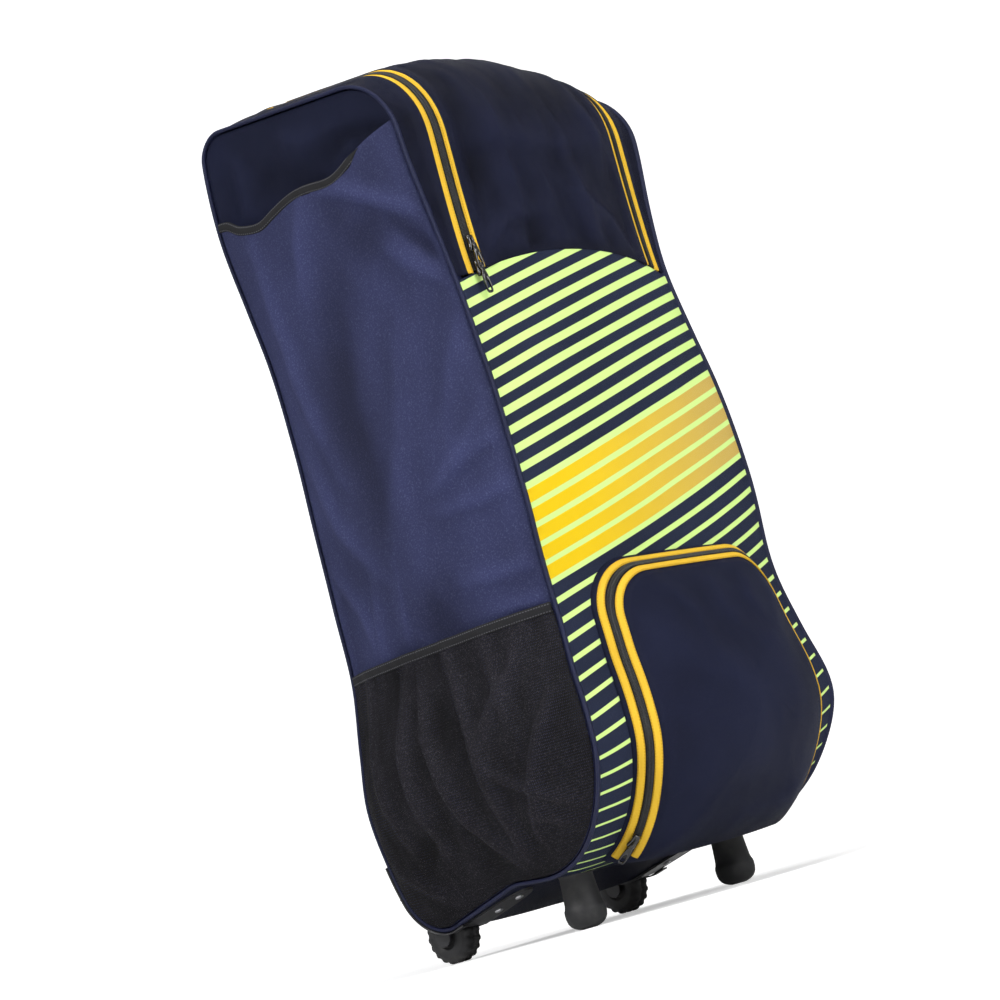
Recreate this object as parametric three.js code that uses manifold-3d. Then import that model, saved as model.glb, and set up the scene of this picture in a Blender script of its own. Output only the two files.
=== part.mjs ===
// Wheeled cricket kit bag, standing upright on two rear wheels and two front feet.
// Millimetres, +Z up. X runs across the bag, the striped front faces -Y, the straps are at +Y.
import * as THREE from 'three';
import Module from 'manifold-3d';
import { mergeVertices } from 'three/addons/utils/BufferGeometryUtils.js';

// Main form
const BAG_HEIGHT = 905; // rear top corner above the floor
const BAG_DEPTH = 306; // side panel, back to front
const BAG_WIDTH = 350; // piping to piping at mid height
const BASE_CLEARANCE = 25; // rear bottom corner above the floor
const BASE_RISE = 35; // crease of the base above the rear bottom corner
const FRONT_RISE = 20; // front bottom corner above the rear one
const TOP_DROP = 48; // front top corner below the rear one
const REAR_TOP_RADIUS = 26;
const FRONT_TOP_RADIUS = 80;
const FRONT_BOTTOM_RADIUS = 112;
const BASE_CREASE_RADIUS = 60;
const REAR_BOTTOM_RADIUS = 38;
const WALL = 2; // sewn fabric with its lining
const GAP = 0.3; // left between pieces that touch
const SIDE_BULGE = 15; // outer side layer at its middle, out from the piping
const CROWN = { top: 36, front: 18, back: 7, base: 5 }; // panel middles, out from their edges
const CROWN_POWER = 2.4;

// Trim of the main form
const PIPING_RADIUS = 2.4;
const SEAM_INSET = 3; // panel edges stop this far from the piping's axis
const INNER_INSET = 5; // the bag's own wall behind the sleeve stops this far from it
const HEM_HEIGHT = 638; // lower edge of the lid at the piping
const HEM_ARCH = 25; // rise of that edge at mid width
const BACK_SEAM_HEIGHT = 100; // base panel ends here on the back
const FRONT_SEAM_HEIGHT = 57; // base panel ends here on the front
const REAR_SEAM_REACH = 28; // back panel ends this far forward of the rear top corner
const ZIP_CHAIN = 10;
const ZIP_TAPE = 10;
const ZIP_THICKNESS = 2.4;
const TAPE_THICKNESS = 1.4;
const MAIN_ZIP_SIDE = 38; // chain's middle in from the piping at mid height
const MAIN_ZIP_HALF = BAG_WIDTH / 2 - MAIN_ZIP_SIDE;
const MAIN_ZIP_REAR = 56; // rear crossing of the chain, forward of the rear top corner
const MAIN_ZIP_RADIUS = 46;
const HEM_GAP = 0.9;
const POCKET_SEAT = 3; // the pocket's rim is drawn this deep and trimmed to the panel

// Sides
const SLEEVE_DEPTH = 24; // hollow between the bag's wall and the sleeve
const MOUTH_HEIGHT = 790; // bat sleeve mouth
const MOUTH_FRONT = -0.245; // its front end, as a share of the depth
const BINDING_WIDTH = 9;
const BINDING_THICKNESS = 3;
const MESH_HEIGHT = 298; // top of the mesh below its band
const MESH_DEPTH = 16;
const MESH_WALL = 1.5;
const MESH_STAND = { top: 0.45, foot: 1 }; // shares of the depth
const BAND_WIDTH = 10;
const BAND_MARGIN = 9; // from the ends of the bands to the outline

// Front pocket
const POCKET_SIDE = 39; // in from the piping at mid height
const POCKET_WIDTH = BAG_WIDTH - 2 * POCKET_SIDE;
const POCKET_TOP = 338;
const POCKET_FOOT = 62;
const POCKET_RADIUS = 55;
const POCKET_FOOT_RADIUS = 9;
const POCKET_GUSSET = 23; // height of the slanted rim
const POCKET_DEPTH = 42; // height at the middle
const POCKET_DOME_POWER = 2.2;
const POCKET_ZIP_START = 4; // the zip's outer edge above the pocket's foot
const POCKET_ZIP_CHAIN = 6;
const POCKET_ZIP_TAPE = 8;
const POCKET_RIM_SHARE = 0.83; // where the rim ends, from the centre outwards

// Sliders
const SLIDER_LENGTH = 17;
const SLIDER_WIDTH = 9;
const SLIDER_HEIGHT = 5;
const SLIDER_TAPER = 1.3; // wide end over narrow end
const SLIDER_SPACING = 27; // between the two sliders of the main zip
const PULL_LENGTH = 25;
const PULL_START = 4; // below the slider's middle
const PULL_WIDTH = 9;
const PULL_THICKNESS = 3;
const PULL_NECK = 0.6; // share of the pull's width

// Wheels, feet and their fittings
const WHEEL_RADIUS = 29;
const WHEEL_WIDTH = 25;
const WHEEL_LOBES = 18;
const LOBE_DEPTH = 1.6;
const WHEEL_SIDE = 40; // wheel's middle in from the piping at mid height
const WHEEL_TRACK = BAG_WIDTH - 2 * WHEEL_SIDE;
const WHEEL_SHOULDER = 2.5;
const SHOULDER_DROP = 5; // tread to the edge of the wheel's face
const WHEEL_SETBACK = 16; // axle ahead of the rear corner line
const AXLE_RADIUS = 3;
const BORE_CLEARANCE = 0.4;
const HUB_RADIUS = 13;
const HUB_RECESS = 3;
const WELL_SIDE_CLEARANCE = 2;
const WELL_RADIAL_CLEARANCE = 4;
const WELL_MOUTH_SHARE = 0.8; // of the well's radius, above the axle, that is open at the back
const HOUSING_WALL = 2.5;
const CHEEK_RADIUS = 10; // round the ends of the axle
const PLATE_THICKNESS = 2.4;
const PLATE_WIDTH = 36;
const PLATE_LENGTH = 136; // along the base, from the back
const PLATE_TIP = 60; // its tapering front
const RIVET_RADIUS = 4.5;
const RIVET_HEIGHT = 1.8;
const RIVET_REACH = [86, 118]; // forward of the rear corner line
const FOOT_RADIUS = 21;
const FOOT_SIDE = 54; // foot's middle in from the piping at mid height
const FOOT_SPACING = BAG_WIDTH - 2 * FOOT_SIDE;
const FOOT_FORWARD = 33; // ahead of the middle of the depth
const FOOT_NECK_RADIUS = 17;
const FOOT_FLAT_RADIUS = 8;
const FOOT_SINK = 12; // past the base's crease, before it is trimmed
const FOOT_SHOULDER = 18; // height of the flare above the neck
const GUARD_WIDTH = 8;
const GUARD_THICKNESS = 1.6;
const GUARD_TOP = 112;
const GUARD_REACH = 60; // along the base, forward of the rear corner line

// Straps on the back
const STRAP_WIDTH = 62;
const STRAP_THICKNESS = 10;
const STRAP_LIFT = 4; // off the back at its middle
const STRAP_TOP = 800;
const STRAP_BOTTOM = 410;
const STRAP_SPREAD = { top: 62, bottom: 92 }; // mid width to the strap's middle
const WEBBING_WIDTH = 25;
const WEBBING_THICKNESS = 1.8;
const TAB_HEIGHT = 244;
const TAB_SIZE = 42;
const TAB_WIDTH = 31;
const TAB_THICKNESS = 3;
const TAB_SIDE = 4; // in from the side seam
const TAB_LIFTS = [0, 5, 8];
const TAIL_LIFTS = { top: 8, bottom: 5 };
const TAIL_BOTTOM = 76;

// Shares of the half width at shares of the height.
const WIDTH_TABLE = [
  { at: 0.0, half: 0.86 },
  { at: 0.06, half: 0.95 },
  { at: 0.11, half: 1.03 },
  { at: 0.185, half: 1.1 },
  { at: 0.25, half: 1.06 },
  { at: 0.33, half: 1.0 },
  { at: 0.42, half: 1.01 },
  { at: 0.52, half: 1.0 },
  { at: 0.62, half: 0.965 },
  { at: 0.71, half: 0.945 },
  { at: 0.78, half: 0.98 },
  { at: 0.87, half: 1.045 },
  { at: 0.94, half: 1.04 },
  { at: 1.0, half: 1.0 },
];

// Outward swell of the front and back lines, as shares of the depth.
const SWELL_TABLE = [
  { at: 0.05, front: 0.0, back: 0.0 },
  { at: 0.12, front: 0.02, back: 0.0 },
  { at: 0.2, front: 0.052, back: -0.008 },
  { at: 0.27, front: 0.028, back: -0.02 },
  { at: 0.35, front: 0.014, back: -0.036 },
  { at: 0.45, front: 0.036, back: -0.048 },
  { at: 0.56, front: 0.034, back: -0.045 },
  { at: 0.64, front: 0.012, back: -0.03 },
  { at: 0.72, front: -0.008, back: -0.01 },
  { at: 0.8, front: -0.01, back: 0.0 },
  { at: 0.9, front: 0.0, back: 0.0 },
];

// Sleeve mouth from the back seam to the front one: shares of the depth, and the rise of the
// mouth's edge above its own height, as shares of the depth too.
const MOUTH_TABLE = [
  { at: -0.6, rise: 0.085 },
  { at: -0.4, rise: 0.06 },
  { at: -0.25, rise: 0.035 },
  { at: -0.17, rise: 0.0 },
  { at: -0.09, rise: -0.02 },
  { at: 0.02, rise: -0.005 },
  { at: 0.11, rise: 0.0 },
  { at: 0.2, rise: -0.015 },
  { at: 0.29, rise: -0.034 },
  { at: 0.38, rise: -0.012 },
  { at: 0.45, rise: 0.03 },
  { at: 0.6, rise: 0.05 },
];

// Fineness
const ARC_STEP = THREE.MathUtils.degToRad(18);
const STRAIGHT_STEP = 75;
const ACROSS_STEPS = 10;
const PATH_STEP = 34;
const LINE_STEP = 12; // along the lines drawn on the sides
const STATION_STEP = 0.5; // when a place along the outline is looked for
const ROW_SPACING = 5; // least distance from a panel's end to its next row
const PATH_SPACING = 4; // least distance from a path's corner to its next point
const OVERSHOOT = 0.01; // of a cut past the face that it starts from

const fabric = (color, roughness = 0.85) => new THREE.MeshStandardMaterial({ color, roughness });
const MATERIALS = {
  side: fabric(0x383a62),
  satin: fabric(0x1c1e32, 0.5),
  stripe: fabric(0x2a2e45),
  pocket: fabric(0x1d2440, 0.7),
  mesh: fabric(0x14141c),
  elastic: fabric(0x2b2b2e),
  piping: fabric(0x2a2e5c, 0.6),
  tape: fabric(0xf0b428),
  chain: fabric(0x121212, 0.5),
  slider: new THREE.MeshStandardMaterial({ color: 0x0c0c0e, roughness: 0.35, metalness: 0.4 }),
  rubber: new THREE.MeshStandardMaterial({ color: 0x0f0f11, roughness: 0.7 }),
  plastic: new THREE.MeshStandardMaterial({ color: 0x232327, roughness: 0.55 }),
  steel: new THREE.MeshStandardMaterial({ color: 0xb9bcc2, roughness: 0.35, metalness: 0.9 }),
};

const wasm = await Module();
wasm.setup();
const bag = new THREE.Group();

function addMesh(name, geometry, material) {
  const mesh = new THREE.Mesh(geometry, material);
  mesh.name = name;
  bag.add(mesh);
}

// Value of a table's column at a place between its rows, on a smooth curve.
function readTable(rows, column, at) {
  const last = rows.length - 1;
  if (at <= rows[0].at) return rows[0][column];
  if (at >= rows[last].at) return rows[last][column];
  const i = rows.findIndex((row) => row.at > at) - 1;
  const slope = (k) => {
    const before = rows[Math.max(k - 1, 0)];
    const after = rows[Math.min(k + 1, last)];
    return (after[column] - before[column]) / (after.at - before.at);
  };
  const span = rows[i + 1].at - rows[i].at;
  const t = (at - rows[i].at) / span;
  const rise = 3 * t ** 2 - 2 * t ** 3;
  const leave = (t ** 3 - 2 * t ** 2 + t) * span * slope(i);
  const arrive = (t ** 3 - t ** 2) * span * slope(i + 1);
  return (1 - rise) * rows[i][column] + rise * rows[i + 1][column] + leave + arrive;
}

// The two lower fillets share the front half of the base between them.
const frontBottomRadius = Math.min(FRONT_BOTTOM_RADIUS, 0.37 * BAG_DEPTH);
const baseCreaseRadius = Math.min(BASE_CREASE_RADIUS, 0.2 * BAG_DEPTH);

// The side outline, up the back, over the top, down the front and back along the base.
const CORNERS = [
  { y: 0.503 * BAG_DEPTH, z: BASE_CLEARANCE, radius: REAR_BOTTOM_RADIUS },
  { y: 0.497 * BAG_DEPTH, z: BAG_HEIGHT, radius: REAR_TOP_RADIUS },
  { y: -0.418 * BAG_DEPTH, z: BAG_HEIGHT - TOP_DROP, radius: FRONT_TOP_RADIUS },
  { y: -0.507 * BAG_DEPTH, z: BASE_CLEARANCE + FRONT_RISE, radius: frontBottomRadius },
  { y: 0.016 * BAG_DEPTH, z: BASE_CLEARANCE + BASE_RISE, radius: baseCreaseRadius },
];
const REAR_LINE = CORNERS[0].y;

// Points of a closed line whose corners are rounded, with the outward direction at each.
function roundedOutline(corners) {
  const points = [];
  corners.forEach((corner, i) => {
    const before = corners[(i + corners.length - 1) % corners.length];
    const after = corners[(i + 1) % corners.length];
    const here = new THREE.Vector2(corner.y, corner.z);
    const from = new THREE.Vector2(before.y, before.z).sub(here).normalize();
    const to = new THREE.Vector2(after.y, after.z).sub(here).normalize();
    const half = Math.acos(THREE.MathUtils.clamp(from.dot(to), -1, 1)) / 2;
    const side = Math.sign(from.cross(to));
    const centre = from.clone().add(to).normalize().multiplyScalar(corner.radius / Math.sin(half));
    centre.add(here);
    const turn = (Math.PI - 2 * half) * -side;
    const steps = Math.max(2, Math.ceil(Math.abs(turn) / ARC_STEP));
    const start = from.clone().multiplyScalar(corner.radius / Math.tan(half)).add(here).sub(centre);
    for (let k = 0; k <= steps; k += 1) {
      const spoke = start.clone().rotateAround(new THREE.Vector2(), turn * (k / steps));
      const out = spoke.clone().normalize().multiplyScalar(-side);
      points.push({ y: centre.x + spoke.x, z: centre.y + spoke.y, ny: out.x, nz: out.y });
    }
  });
  return points;
}

// The same line with its straights divided and the front and back swelled.
function bagOutline() {
  const rounded = roundedOutline(CORNERS);
  const line = [];
  rounded.forEach((point, i) => {
    const next = rounded[(i + 1) % rounded.length];
    const steps = Math.ceil(Math.hypot(next.y - point.y, next.z - point.z) / STRAIGHT_STEP);
    for (let k = 0; k < steps; k += 1) {
      const t = k / steps;
      const mix = (key) => THREE.MathUtils.lerp(point[key], next[key], t);
      line.push({ y: mix('y'), z: mix('z'), ny: mix('ny'), nz: mix('nz') });
    }
  });
  line.forEach((point) => {
    const share = point.z / BAG_HEIGHT;
    const facing = point.ny ** 2 * BAG_DEPTH;
    if (point.ny < 0) point.y -= readTable(SWELL_TABLE, 'front', share) * facing;
    else point.y += readTable(SWELL_TABLE, 'back', share) * facing;
  });
  let length = 0;
  line.forEach((point, i) => {
    const next = line[(i + 1) % line.length];
    const before = line[(i + line.length - 1) % line.length];
    const along = new THREE.Vector2(next.y - before.y, next.z - before.z).normalize();
    point.ny = along.y;
    point.nz = -along.x;
    point.s = length;
    point.half = halfWidth(point.z);
    length += Math.hypot(next.y - point.y, next.z - point.z);
  });
  return { line, length };
}

const halfWidth = (z) => readTable(WIDTH_TABLE, 'half', z / BAG_HEIGHT) * (BAG_WIDTH / 2);
const OUTLINE = bagOutline();

// Point and outward direction at a distance along the outline.
function outlineAt(distance) {
  const { line, length } = OUTLINE;
  const s = ((distance % length) + length) % length;
  let i = line.findIndex((point) => point.s > s) - 1;
  if (i < 0) i = line.length - 1;
  const point = line[i];
  const next = line[(i + 1) % line.length];
  const t = (s - point.s) / ((i + 1 < line.length ? next.s : length) - point.s);
  const mix = (key) => THREE.MathUtils.lerp(point[key], next[key], t);
  return { y: mix('y'), z: mix('z'), ny: mix('ny'), nz: mix('nz'), half: mix('half') };
}

// Distance along the outline of the first place, from a start, that passes a test.
function findStation(start, passes) {
  let s = start;
  while (s < start + OUTLINE.length && !passes(outlineAt(s))) s += STATION_STEP;
  return s;
}

const STATION = {};
STATION.backSeam = findStation(0, (p) => p.ny > 0.5 && p.z > BACK_SEAM_HEIGHT);
STATION.rearSeam = findStation(0, (p) => p.nz > 0.8 && p.y < CORNERS[1].y - REAR_SEAM_REACH);
STATION.zipRear = findStation(0, (p) => p.nz > 0.8 && p.y < CORNERS[1].y - MAIN_ZIP_REAR);
STATION.hem = findStation(STATION.zipRear, (p) => p.ny < -0.5 && p.z < HEM_HEIGHT);
STATION.frontSeam = findStation(STATION.hem, (p) => p.z < FRONT_SEAM_HEIGHT);
const frontStation = (z) => findStation(STATION.hem, (p) => p.z < z);
const backStation = (z) => findStation(0, (p) => p.ny > 0.5 && p.z > z);
const baseStation = (y) => findStation(STATION.frontSeam, (p) => p.nz < -0.3 && p.y > y);

const edgeOf = (s) => outlineAt(s).half - SEAM_INSET;

// Outer face of the strip that runs round the bag, at a distance along the outline and across.
function stripPoint(s, x, lift = 0) {
  const p = outlineAt(s);
  const across = Math.min(Math.abs(x) / edgeOf(s), 1);
  const upright = p.nz > 0 ? CROWN.top : CROWN.base;
  const level = p.ny > 0 ? CROWN.back : CROWN.front;
  const crown = upright * p.nz ** 2 + level * p.ny ** 2;
  const out = crown * (1 - across ** CROWN_POWER) + lift;
  return new THREE.Vector3(x, p.y + p.ny * out, p.z + p.nz * out);
}

// Outward direction of a surface given by a function of two lengths.
function surfaceNormal(surface, a, b) {
  const step = 1.5;
  const alongA = surface(a + step, b).sub(surface(a - step, b));
  const alongB = surface(a, b + step).sub(surface(a, b - step));
  return alongA.cross(alongB).normalize();
}

const stripNormal = (s, x) => {
  const normal = surfaceNormal(stripPoint, s, x);
  const p = outlineAt(s);
  return normal.y * p.ny + normal.z * p.nz < 0 ? normal.negate() : normal;
};

function makeGeometry(vertices, triangles) {
  const geometry = new THREE.BufferGeometry();
  const numbers = vertices.flatMap((v) => [v.x, v.y, v.z]);
  geometry.setAttribute('position', new THREE.Float32BufferAttribute(numbers, 3));
  geometry.setIndex(triangles);
  let volume = 0;
  for (let i = 0; i < triangles.length; i += 3) {
    const [a, b, c] = [0, 1, 2].map((k) => vertices[triangles[i + k]]);
    volume += a.dot(b.clone().cross(c));
  }
  if (volume < 0) geometry.index.array.reverse();
  return geometry;
}

// A wall between two grids of points of the same size, closed along all four edges.
function wallFromGrids(outer, inner) {
  const rows = outer.length;
  const columns = outer[0].length;
  const vertices = [...outer.flat(), ...inner.flat()];
  const triangles = [];
  const quad = (a, b, c, d) => triangles.push(a, b, c, a, c, d);
  const front = (i, j) => i * columns + j;
  const back = (i, j) => rows * columns + i * columns + j;
  for (let i = 0; i + 1 < rows; i += 1) {
    for (let j = 0; j + 1 < columns; j += 1) {
      quad(front(i, j), front(i + 1, j), front(i + 1, j + 1), front(i, j + 1));
      quad(back(i, j), back(i, j + 1), back(i + 1, j + 1), back(i + 1, j));
    }
    quad(front(i, 0), back(i, 0), back(i + 1, 0), front(i + 1, 0));
    const edge = columns - 1;
    quad(front(i, edge), front(i + 1, edge), back(i + 1, edge), back(i, edge));
  }
  const last = rows - 1;
  for (let j = 0; j + 1 < columns; j += 1) {
    quad(front(0, j), front(0, j + 1), back(0, j + 1), back(0, j));
    quad(front(last, j), back(last, j), back(last, j + 1), front(last, j + 1));
  }
  return makeGeometry(vertices, triangles);
}

// The outline's own stations between two places.
function stationsBetween(start, end) {
  const own = OUTLINE.line.flatMap((point) => [point.s, point.s + OUTLINE.length]);
  return own.filter((s) => s > start && s < end).sort((a, b) => a - b);
}

// A panel of the strip. Its ends may change across the width, its sides along the length.
function stripPanel(startAt, endAt, sideAt) {
  const spreads = Array.from({ length: ACROSS_STEPS + 1 }, (_, j) => (
    Math.sin(((2 * j) / ACROSS_STEPS - 1) * (Math.PI / 2))
  ));
  const starts = spreads.map((spread) => startAt(spread * sideAt(startAt(0))));
  const ends = spreads.map((spread) => endAt(spread * sideAt(endAt(0))));
  const inside = stationsBetween(
    Math.max(...starts) + ROW_SPACING, Math.min(...ends) - ROW_SPACING,
  );
  const rows = [starts, ...inside.map((s) => spreads.map(() => s)), ends];
  const outer = rows.map((row) => row.map((s, j) => stripPoint(s, spreads[j] * sideAt(s))));
  const inner = rows.map((row, i) => row.map((s, j) => (
    outer[i][j].clone().addScaledVector(stripNormal(s, spreads[j] * sideAt(s)), -WALL)
  )));
  return wallFromGrids(outer, inner);
}

// A solid of one section swept through frames, each with a place, an outward and a side direction.
function sweep(frames, section, closed = false) {
  const count = section.length;
  const vertices = frames.flatMap((frame) => section.map(([aside, out]) => (
    frame.place.clone().addScaledVector(frame.aside, aside).addScaledVector(frame.out, out)
  )));
  const triangles = [];
  const rings = closed ? frames.length : frames.length - 1;
  for (let i = 0; i < rings; i += 1) {
    const next = (i + 1) % frames.length;
    for (let j = 0; j < count; j += 1) {
      const k = (j + 1) % count;
      triangles.push(i * count + j, next * count + j, next * count + k);
      triangles.push(i * count + j, next * count + k, i * count + k);
    }
  }
  if (!closed) {
    const last = (frames.length - 1) * count;
    for (let j = 1; j + 1 < count; j += 1) {
      triangles.push(0, j, j + 1);
      triangles.push(last, last + j + 1, last + j);
    }
  }
  return makeGeometry(vertices, triangles);
}

const flatSection = (width, low, high) => [
  [-width / 2, low], [width / 2, low], [width / 2, high], [-width / 2, high],
];
const roundSection = (radius, sides) => Array.from({ length: sides }, (_, i) => {
  const angle = (2 * Math.PI * i) / sides;
  return [radius * Math.cos(angle), radius * Math.sin(angle)];
});

// Frames along a line of points on a surface, given the outward direction at each.
function framesAlong(places, outs, closed = false) {
  const count = places.length;
  return places.map((place, i) => {
    const before = closed ? (i + count - 1) % count : Math.max(i - 1, 0);
    const after = closed ? (i + 1) % count : Math.min(i + 1, count - 1);
    const along = places[after].clone().sub(places[before]).normalize();
    const out = outs[i].clone().addScaledVector(along, -outs[i].dot(along)).normalize();
    return { place, out, aside: along.cross(out) };
  });
}

// A ribbon lying on the strip along a path of stations and places across.
function stripRibbon(path, width, low, high) {
  const places = path.map(([s, x]) => stripPoint(s, x));
  const outs = path.map(([s, x]) => stripNormal(s, x));
  return sweep(framesAlong(places, outs), flatSection(width, low, high));
}

// A path in two lengths with rounded corners, in steps short enough to follow the bag.
function roundedPath(corners, radius) {
  const path = [corners[0]];
  for (let i = 1; i + 1 < corners.length; i += 1) {
    const here = new THREE.Vector2(...corners[i]);
    const from = new THREE.Vector2(...corners[i - 1]).sub(here).normalize();
    const to = new THREE.Vector2(...corners[i + 1]).sub(here).normalize();
    const start = from.clone().multiplyScalar(radius).add(here);
    const centre = start.clone().addScaledVector(to, radius);
    const steps = 6;
    for (let k = 0; k <= steps; k += 1) {
      const angle = (Math.PI / 2) * (k / steps);
      const spoke = to.clone().multiplyScalar(-radius * Math.cos(angle));
      spoke.addScaledVector(from, -radius * Math.sin(angle));
      path.push([centre.x + spoke.x, centre.y + spoke.y]);
    }
  }
  path.push(corners[corners.length - 1]);
  const fine = [path[0]];
  for (let i = 1; i < path.length; i += 1) {
    const [a, b] = [path[i - 1], path[i]];
    const own = stationsBetween(
      Math.min(a[0], b[0]) + PATH_SPACING, Math.max(a[0], b[0]) - PATH_SPACING,
    );
    if (a[0] > b[0]) own.reverse();
    const steps = Math.ceil(Math.abs(b[1] - a[1]) / PATH_STEP);
    const shares = own.length ? own.map((s) => (s - a[0]) / (b[0] - a[0]))
      : Array.from({ length: Math.max(steps - 1, 0) }, (_, k) => (k + 1) / steps);
    [...shares, 1].forEach((share) => {
      fine.push([THREE.MathUtils.lerp(a[0], b[0], share), THREE.MathUtils.lerp(a[1], b[1], share)]);
    });
  }
  return fine;
}

// Booleans
function toSolid(geometry) {
  const bare = geometry.clone();
  bare.deleteAttribute('normal');
  bare.deleteAttribute('uv');
  const merged = mergeVertices(bare, 1e-4);
  const vertProperties = new Float32Array(merged.attributes.position.array);
  const triVerts = new Uint32Array(merged.index.array);
  return new wasm.Manifold(new wasm.Mesh({ numProp: 3, vertProperties, triVerts }));
}

function toGeometry(solid) {
  const { vertProperties, triVerts } = solid.getMesh();
  const geometry = new THREE.BufferGeometry();
  geometry.setAttribute('position', new THREE.BufferAttribute(new Float32Array(vertProperties), 3));
  geometry.setIndex(new THREE.BufferAttribute(new Uint32Array(triVerts), 1));
  return geometry;
}

function boxBetween(low, high) {
  const size = new THREE.Vector3(...high).sub(new THREE.Vector3(...low));
  const geometry = new THREE.BoxGeometry(size.x, size.y, size.z);
  return geometry.translate(low[0] + size.x / 2, low[1] + size.y / 2, low[2] + size.z / 2);
}

// A prism along X from an outline of [y, z] points.
function prismAcross(outline, low, high) {
  const shape = new THREE.Shape(outline.map(([y, z]) => new THREE.Vector2(y, z)));
  const geometry = new THREE.ExtrudeGeometry(shape, { depth: high - low, bevelEnabled: false });
  const turn = new THREE.Matrix4().makeBasis(
    new THREE.Vector3(0, 1, 0), new THREE.Vector3(0, 0, 1), new THREE.Vector3(1, 0, 0),
  );
  return geometry.applyMatrix4(turn).translate(low, 0, 0);
}

// The whole bag as one filled form, grown by a lift, for trimming what sits against it.
function bagForm(lift) {
  const stations = OUTLINE.line.map((point) => point.s);
  const vertices = [];
  const triangles = [];
  for (let j = 0; j <= ACROSS_STEPS; j += 1) {
    const spread = Math.sin((((2 * j) / ACROSS_STEPS - 1) * Math.PI) / 2);
    stations.forEach((s) => vertices.push(stripPoint(s, spread * (edgeOf(s) + lift), lift)));
  }
  const count = stations.length;
  for (let j = 0; j < ACROSS_STEPS; j += 1) {
    for (let i = 0; i < count; i += 1) {
      const k = (i + 1) % count;
      const [a, b, c, d] = [j * count + i, j * count + k, (j + 1) * count + k, (j + 1) * count + i];
      triangles.push(a, b, c, a, c, d);
    }
  }
  [0, ACROSS_STEPS].forEach((j) => {
    const middle = vertices.length;
    const x = Math.sign(j - 1) * (BAG_WIDTH / 2 - SEAM_INSET + lift);
    vertices.push(new THREE.Vector3(x, 0, BAG_HEIGHT / 2));
    for (let i = 0; i < count; i += 1) {
      const pair = [j * count + i, j * count + ((i + 1) % count)];
      triangles.push(middle, ...(j ? pair : pair.reverse()));
    }
  });
  return toSolid(makeGeometry(vertices, triangles));
}

// Side layers. A place on the side is known by its outline station and its share of the way out
// from the side's middle.
const SIDE_MIDDLE = { y: 0, z: 0.45 * BAG_HEIGHT };

function sidePlace(s, share, inset = SEAM_INSET) {
  const p = outlineAt(s);
  const y = THREE.MathUtils.lerp(SIDE_MIDDLE.y, p.y - p.ny * inset, share);
  const z = THREE.MathUtils.lerp(SIDE_MIDDLE.z, p.z - p.nz * inset, share);
  return { y, z };
}

// The share at a place on the side, 1 at the panel's edge.
function shareAt(y, z) {
  const target = Math.atan2(z - SIDE_MIDDLE.z, y - SIDE_MIDDLE.y);
  const edges = OUTLINE.line.map((point) => sidePlace(point.s, 1));
  for (let i = 0; i < edges.length; i += 1) {
    const [a, b] = [edges[i], edges[(i + 1) % edges.length]];
    const angle = (p) => {
      const turned = Math.atan2(p.z - SIDE_MIDDLE.z, p.y - SIDE_MIDDLE.y) - target;
      return Math.atan2(Math.sin(turned), Math.cos(turned));
    };
    const [low, high] = [angle(a), angle(b)];
    if (low <= 0 && high > 0 && high - low < Math.PI) {
      const t = -low / (high - low);
      const edge = { y: THREE.MathUtils.lerp(a.y, b.y, t), z: THREE.MathUtils.lerp(a.z, b.z, t) };
      const reach = Math.hypot(edge.y - SIDE_MIDDLE.y, edge.z - SIDE_MIDDLE.z);
      return Math.min(Math.hypot(y - SIDE_MIDDLE.y, z - SIDE_MIDDLE.z) / reach, 1);
    }
  }
  return 1;
}

// Outer faces of the three side layers, measured out from the middle plane.
const sleeveFace = (y, z, share) => halfWidth(z) + SIDE_BULGE * (1 - share ** 2);
const wallFace = (y, z, share) => (
  sleeveFace(y, z, share) - WALL - GAP - SLEEVE_DEPTH * (1 - share ** 5)
);
function meshFace(y, z, share) {
  const high = THREE.MathUtils.smoothstep(z, MESH_HEIGHT / 2, MESH_HEIGHT);
  const level = THREE.MathUtils.lerp(MESH_STAND.foot, MESH_STAND.top, high);
  const stand = MESH_DEPTH * level * (1 - share ** 6);
  return sleeveFace(y, z, share) + GAP + MESH_WALL + stand;
}

// One layer of a side as a disc of rings from its middle to the panel's edge.
function sideLayer(side, face, thickness, shares, inset = SEAM_INSET) {
  const stations = OUTLINE.line.map((point) => point.s);
  const count = stations.length;
  const layer = (depth) => {
    const vertices = [];
    shares.forEach((share) => stations.forEach((s) => {
      const { y, z } = sidePlace(s, share, inset);
      vertices.push(new THREE.Vector3(side * (face(y, z, share) - depth), y, z));
    }));
    const { y, z } = SIDE_MIDDLE;
    vertices.push(new THREE.Vector3(side * (face(y, z, 0) - depth), y, z));
    return vertices;
  };
  const outer = layer(0);
  const vertices = [...outer, ...layer(thickness)];
  const shift = outer.length;
  const triangles = [];
  const quad = (a, b, c, d) => triangles.push(a, b, c, a, c, d);
  const middle = outer.length - 1;
  for (let i = 0; i < count; i += 1) {
    const k = (i + 1) % count;
    triangles.push(middle, i, k);
    triangles.push(middle + shift, k + shift, i + shift);
    for (let ring = 0; ring + 1 < shares.length; ring += 1) {
      const [a, b] = [ring * count + i, ring * count + k];
      quad(a, a + count, b + count, b);
      quad(a + shift, b + shift, b + count + shift, a + count + shift);
    }
    const [a, b] = [(shares.length - 1) * count + i, (shares.length - 1) * count + k];
    quad(a, a + shift, b + shift, b);
  }
  return makeGeometry(vertices, triangles);
}

const mouthHeight = (y) => MOUTH_HEIGHT + BAG_DEPTH * readTable(MOUTH_TABLE, 'rise', y / BAG_DEPTH);

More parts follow.
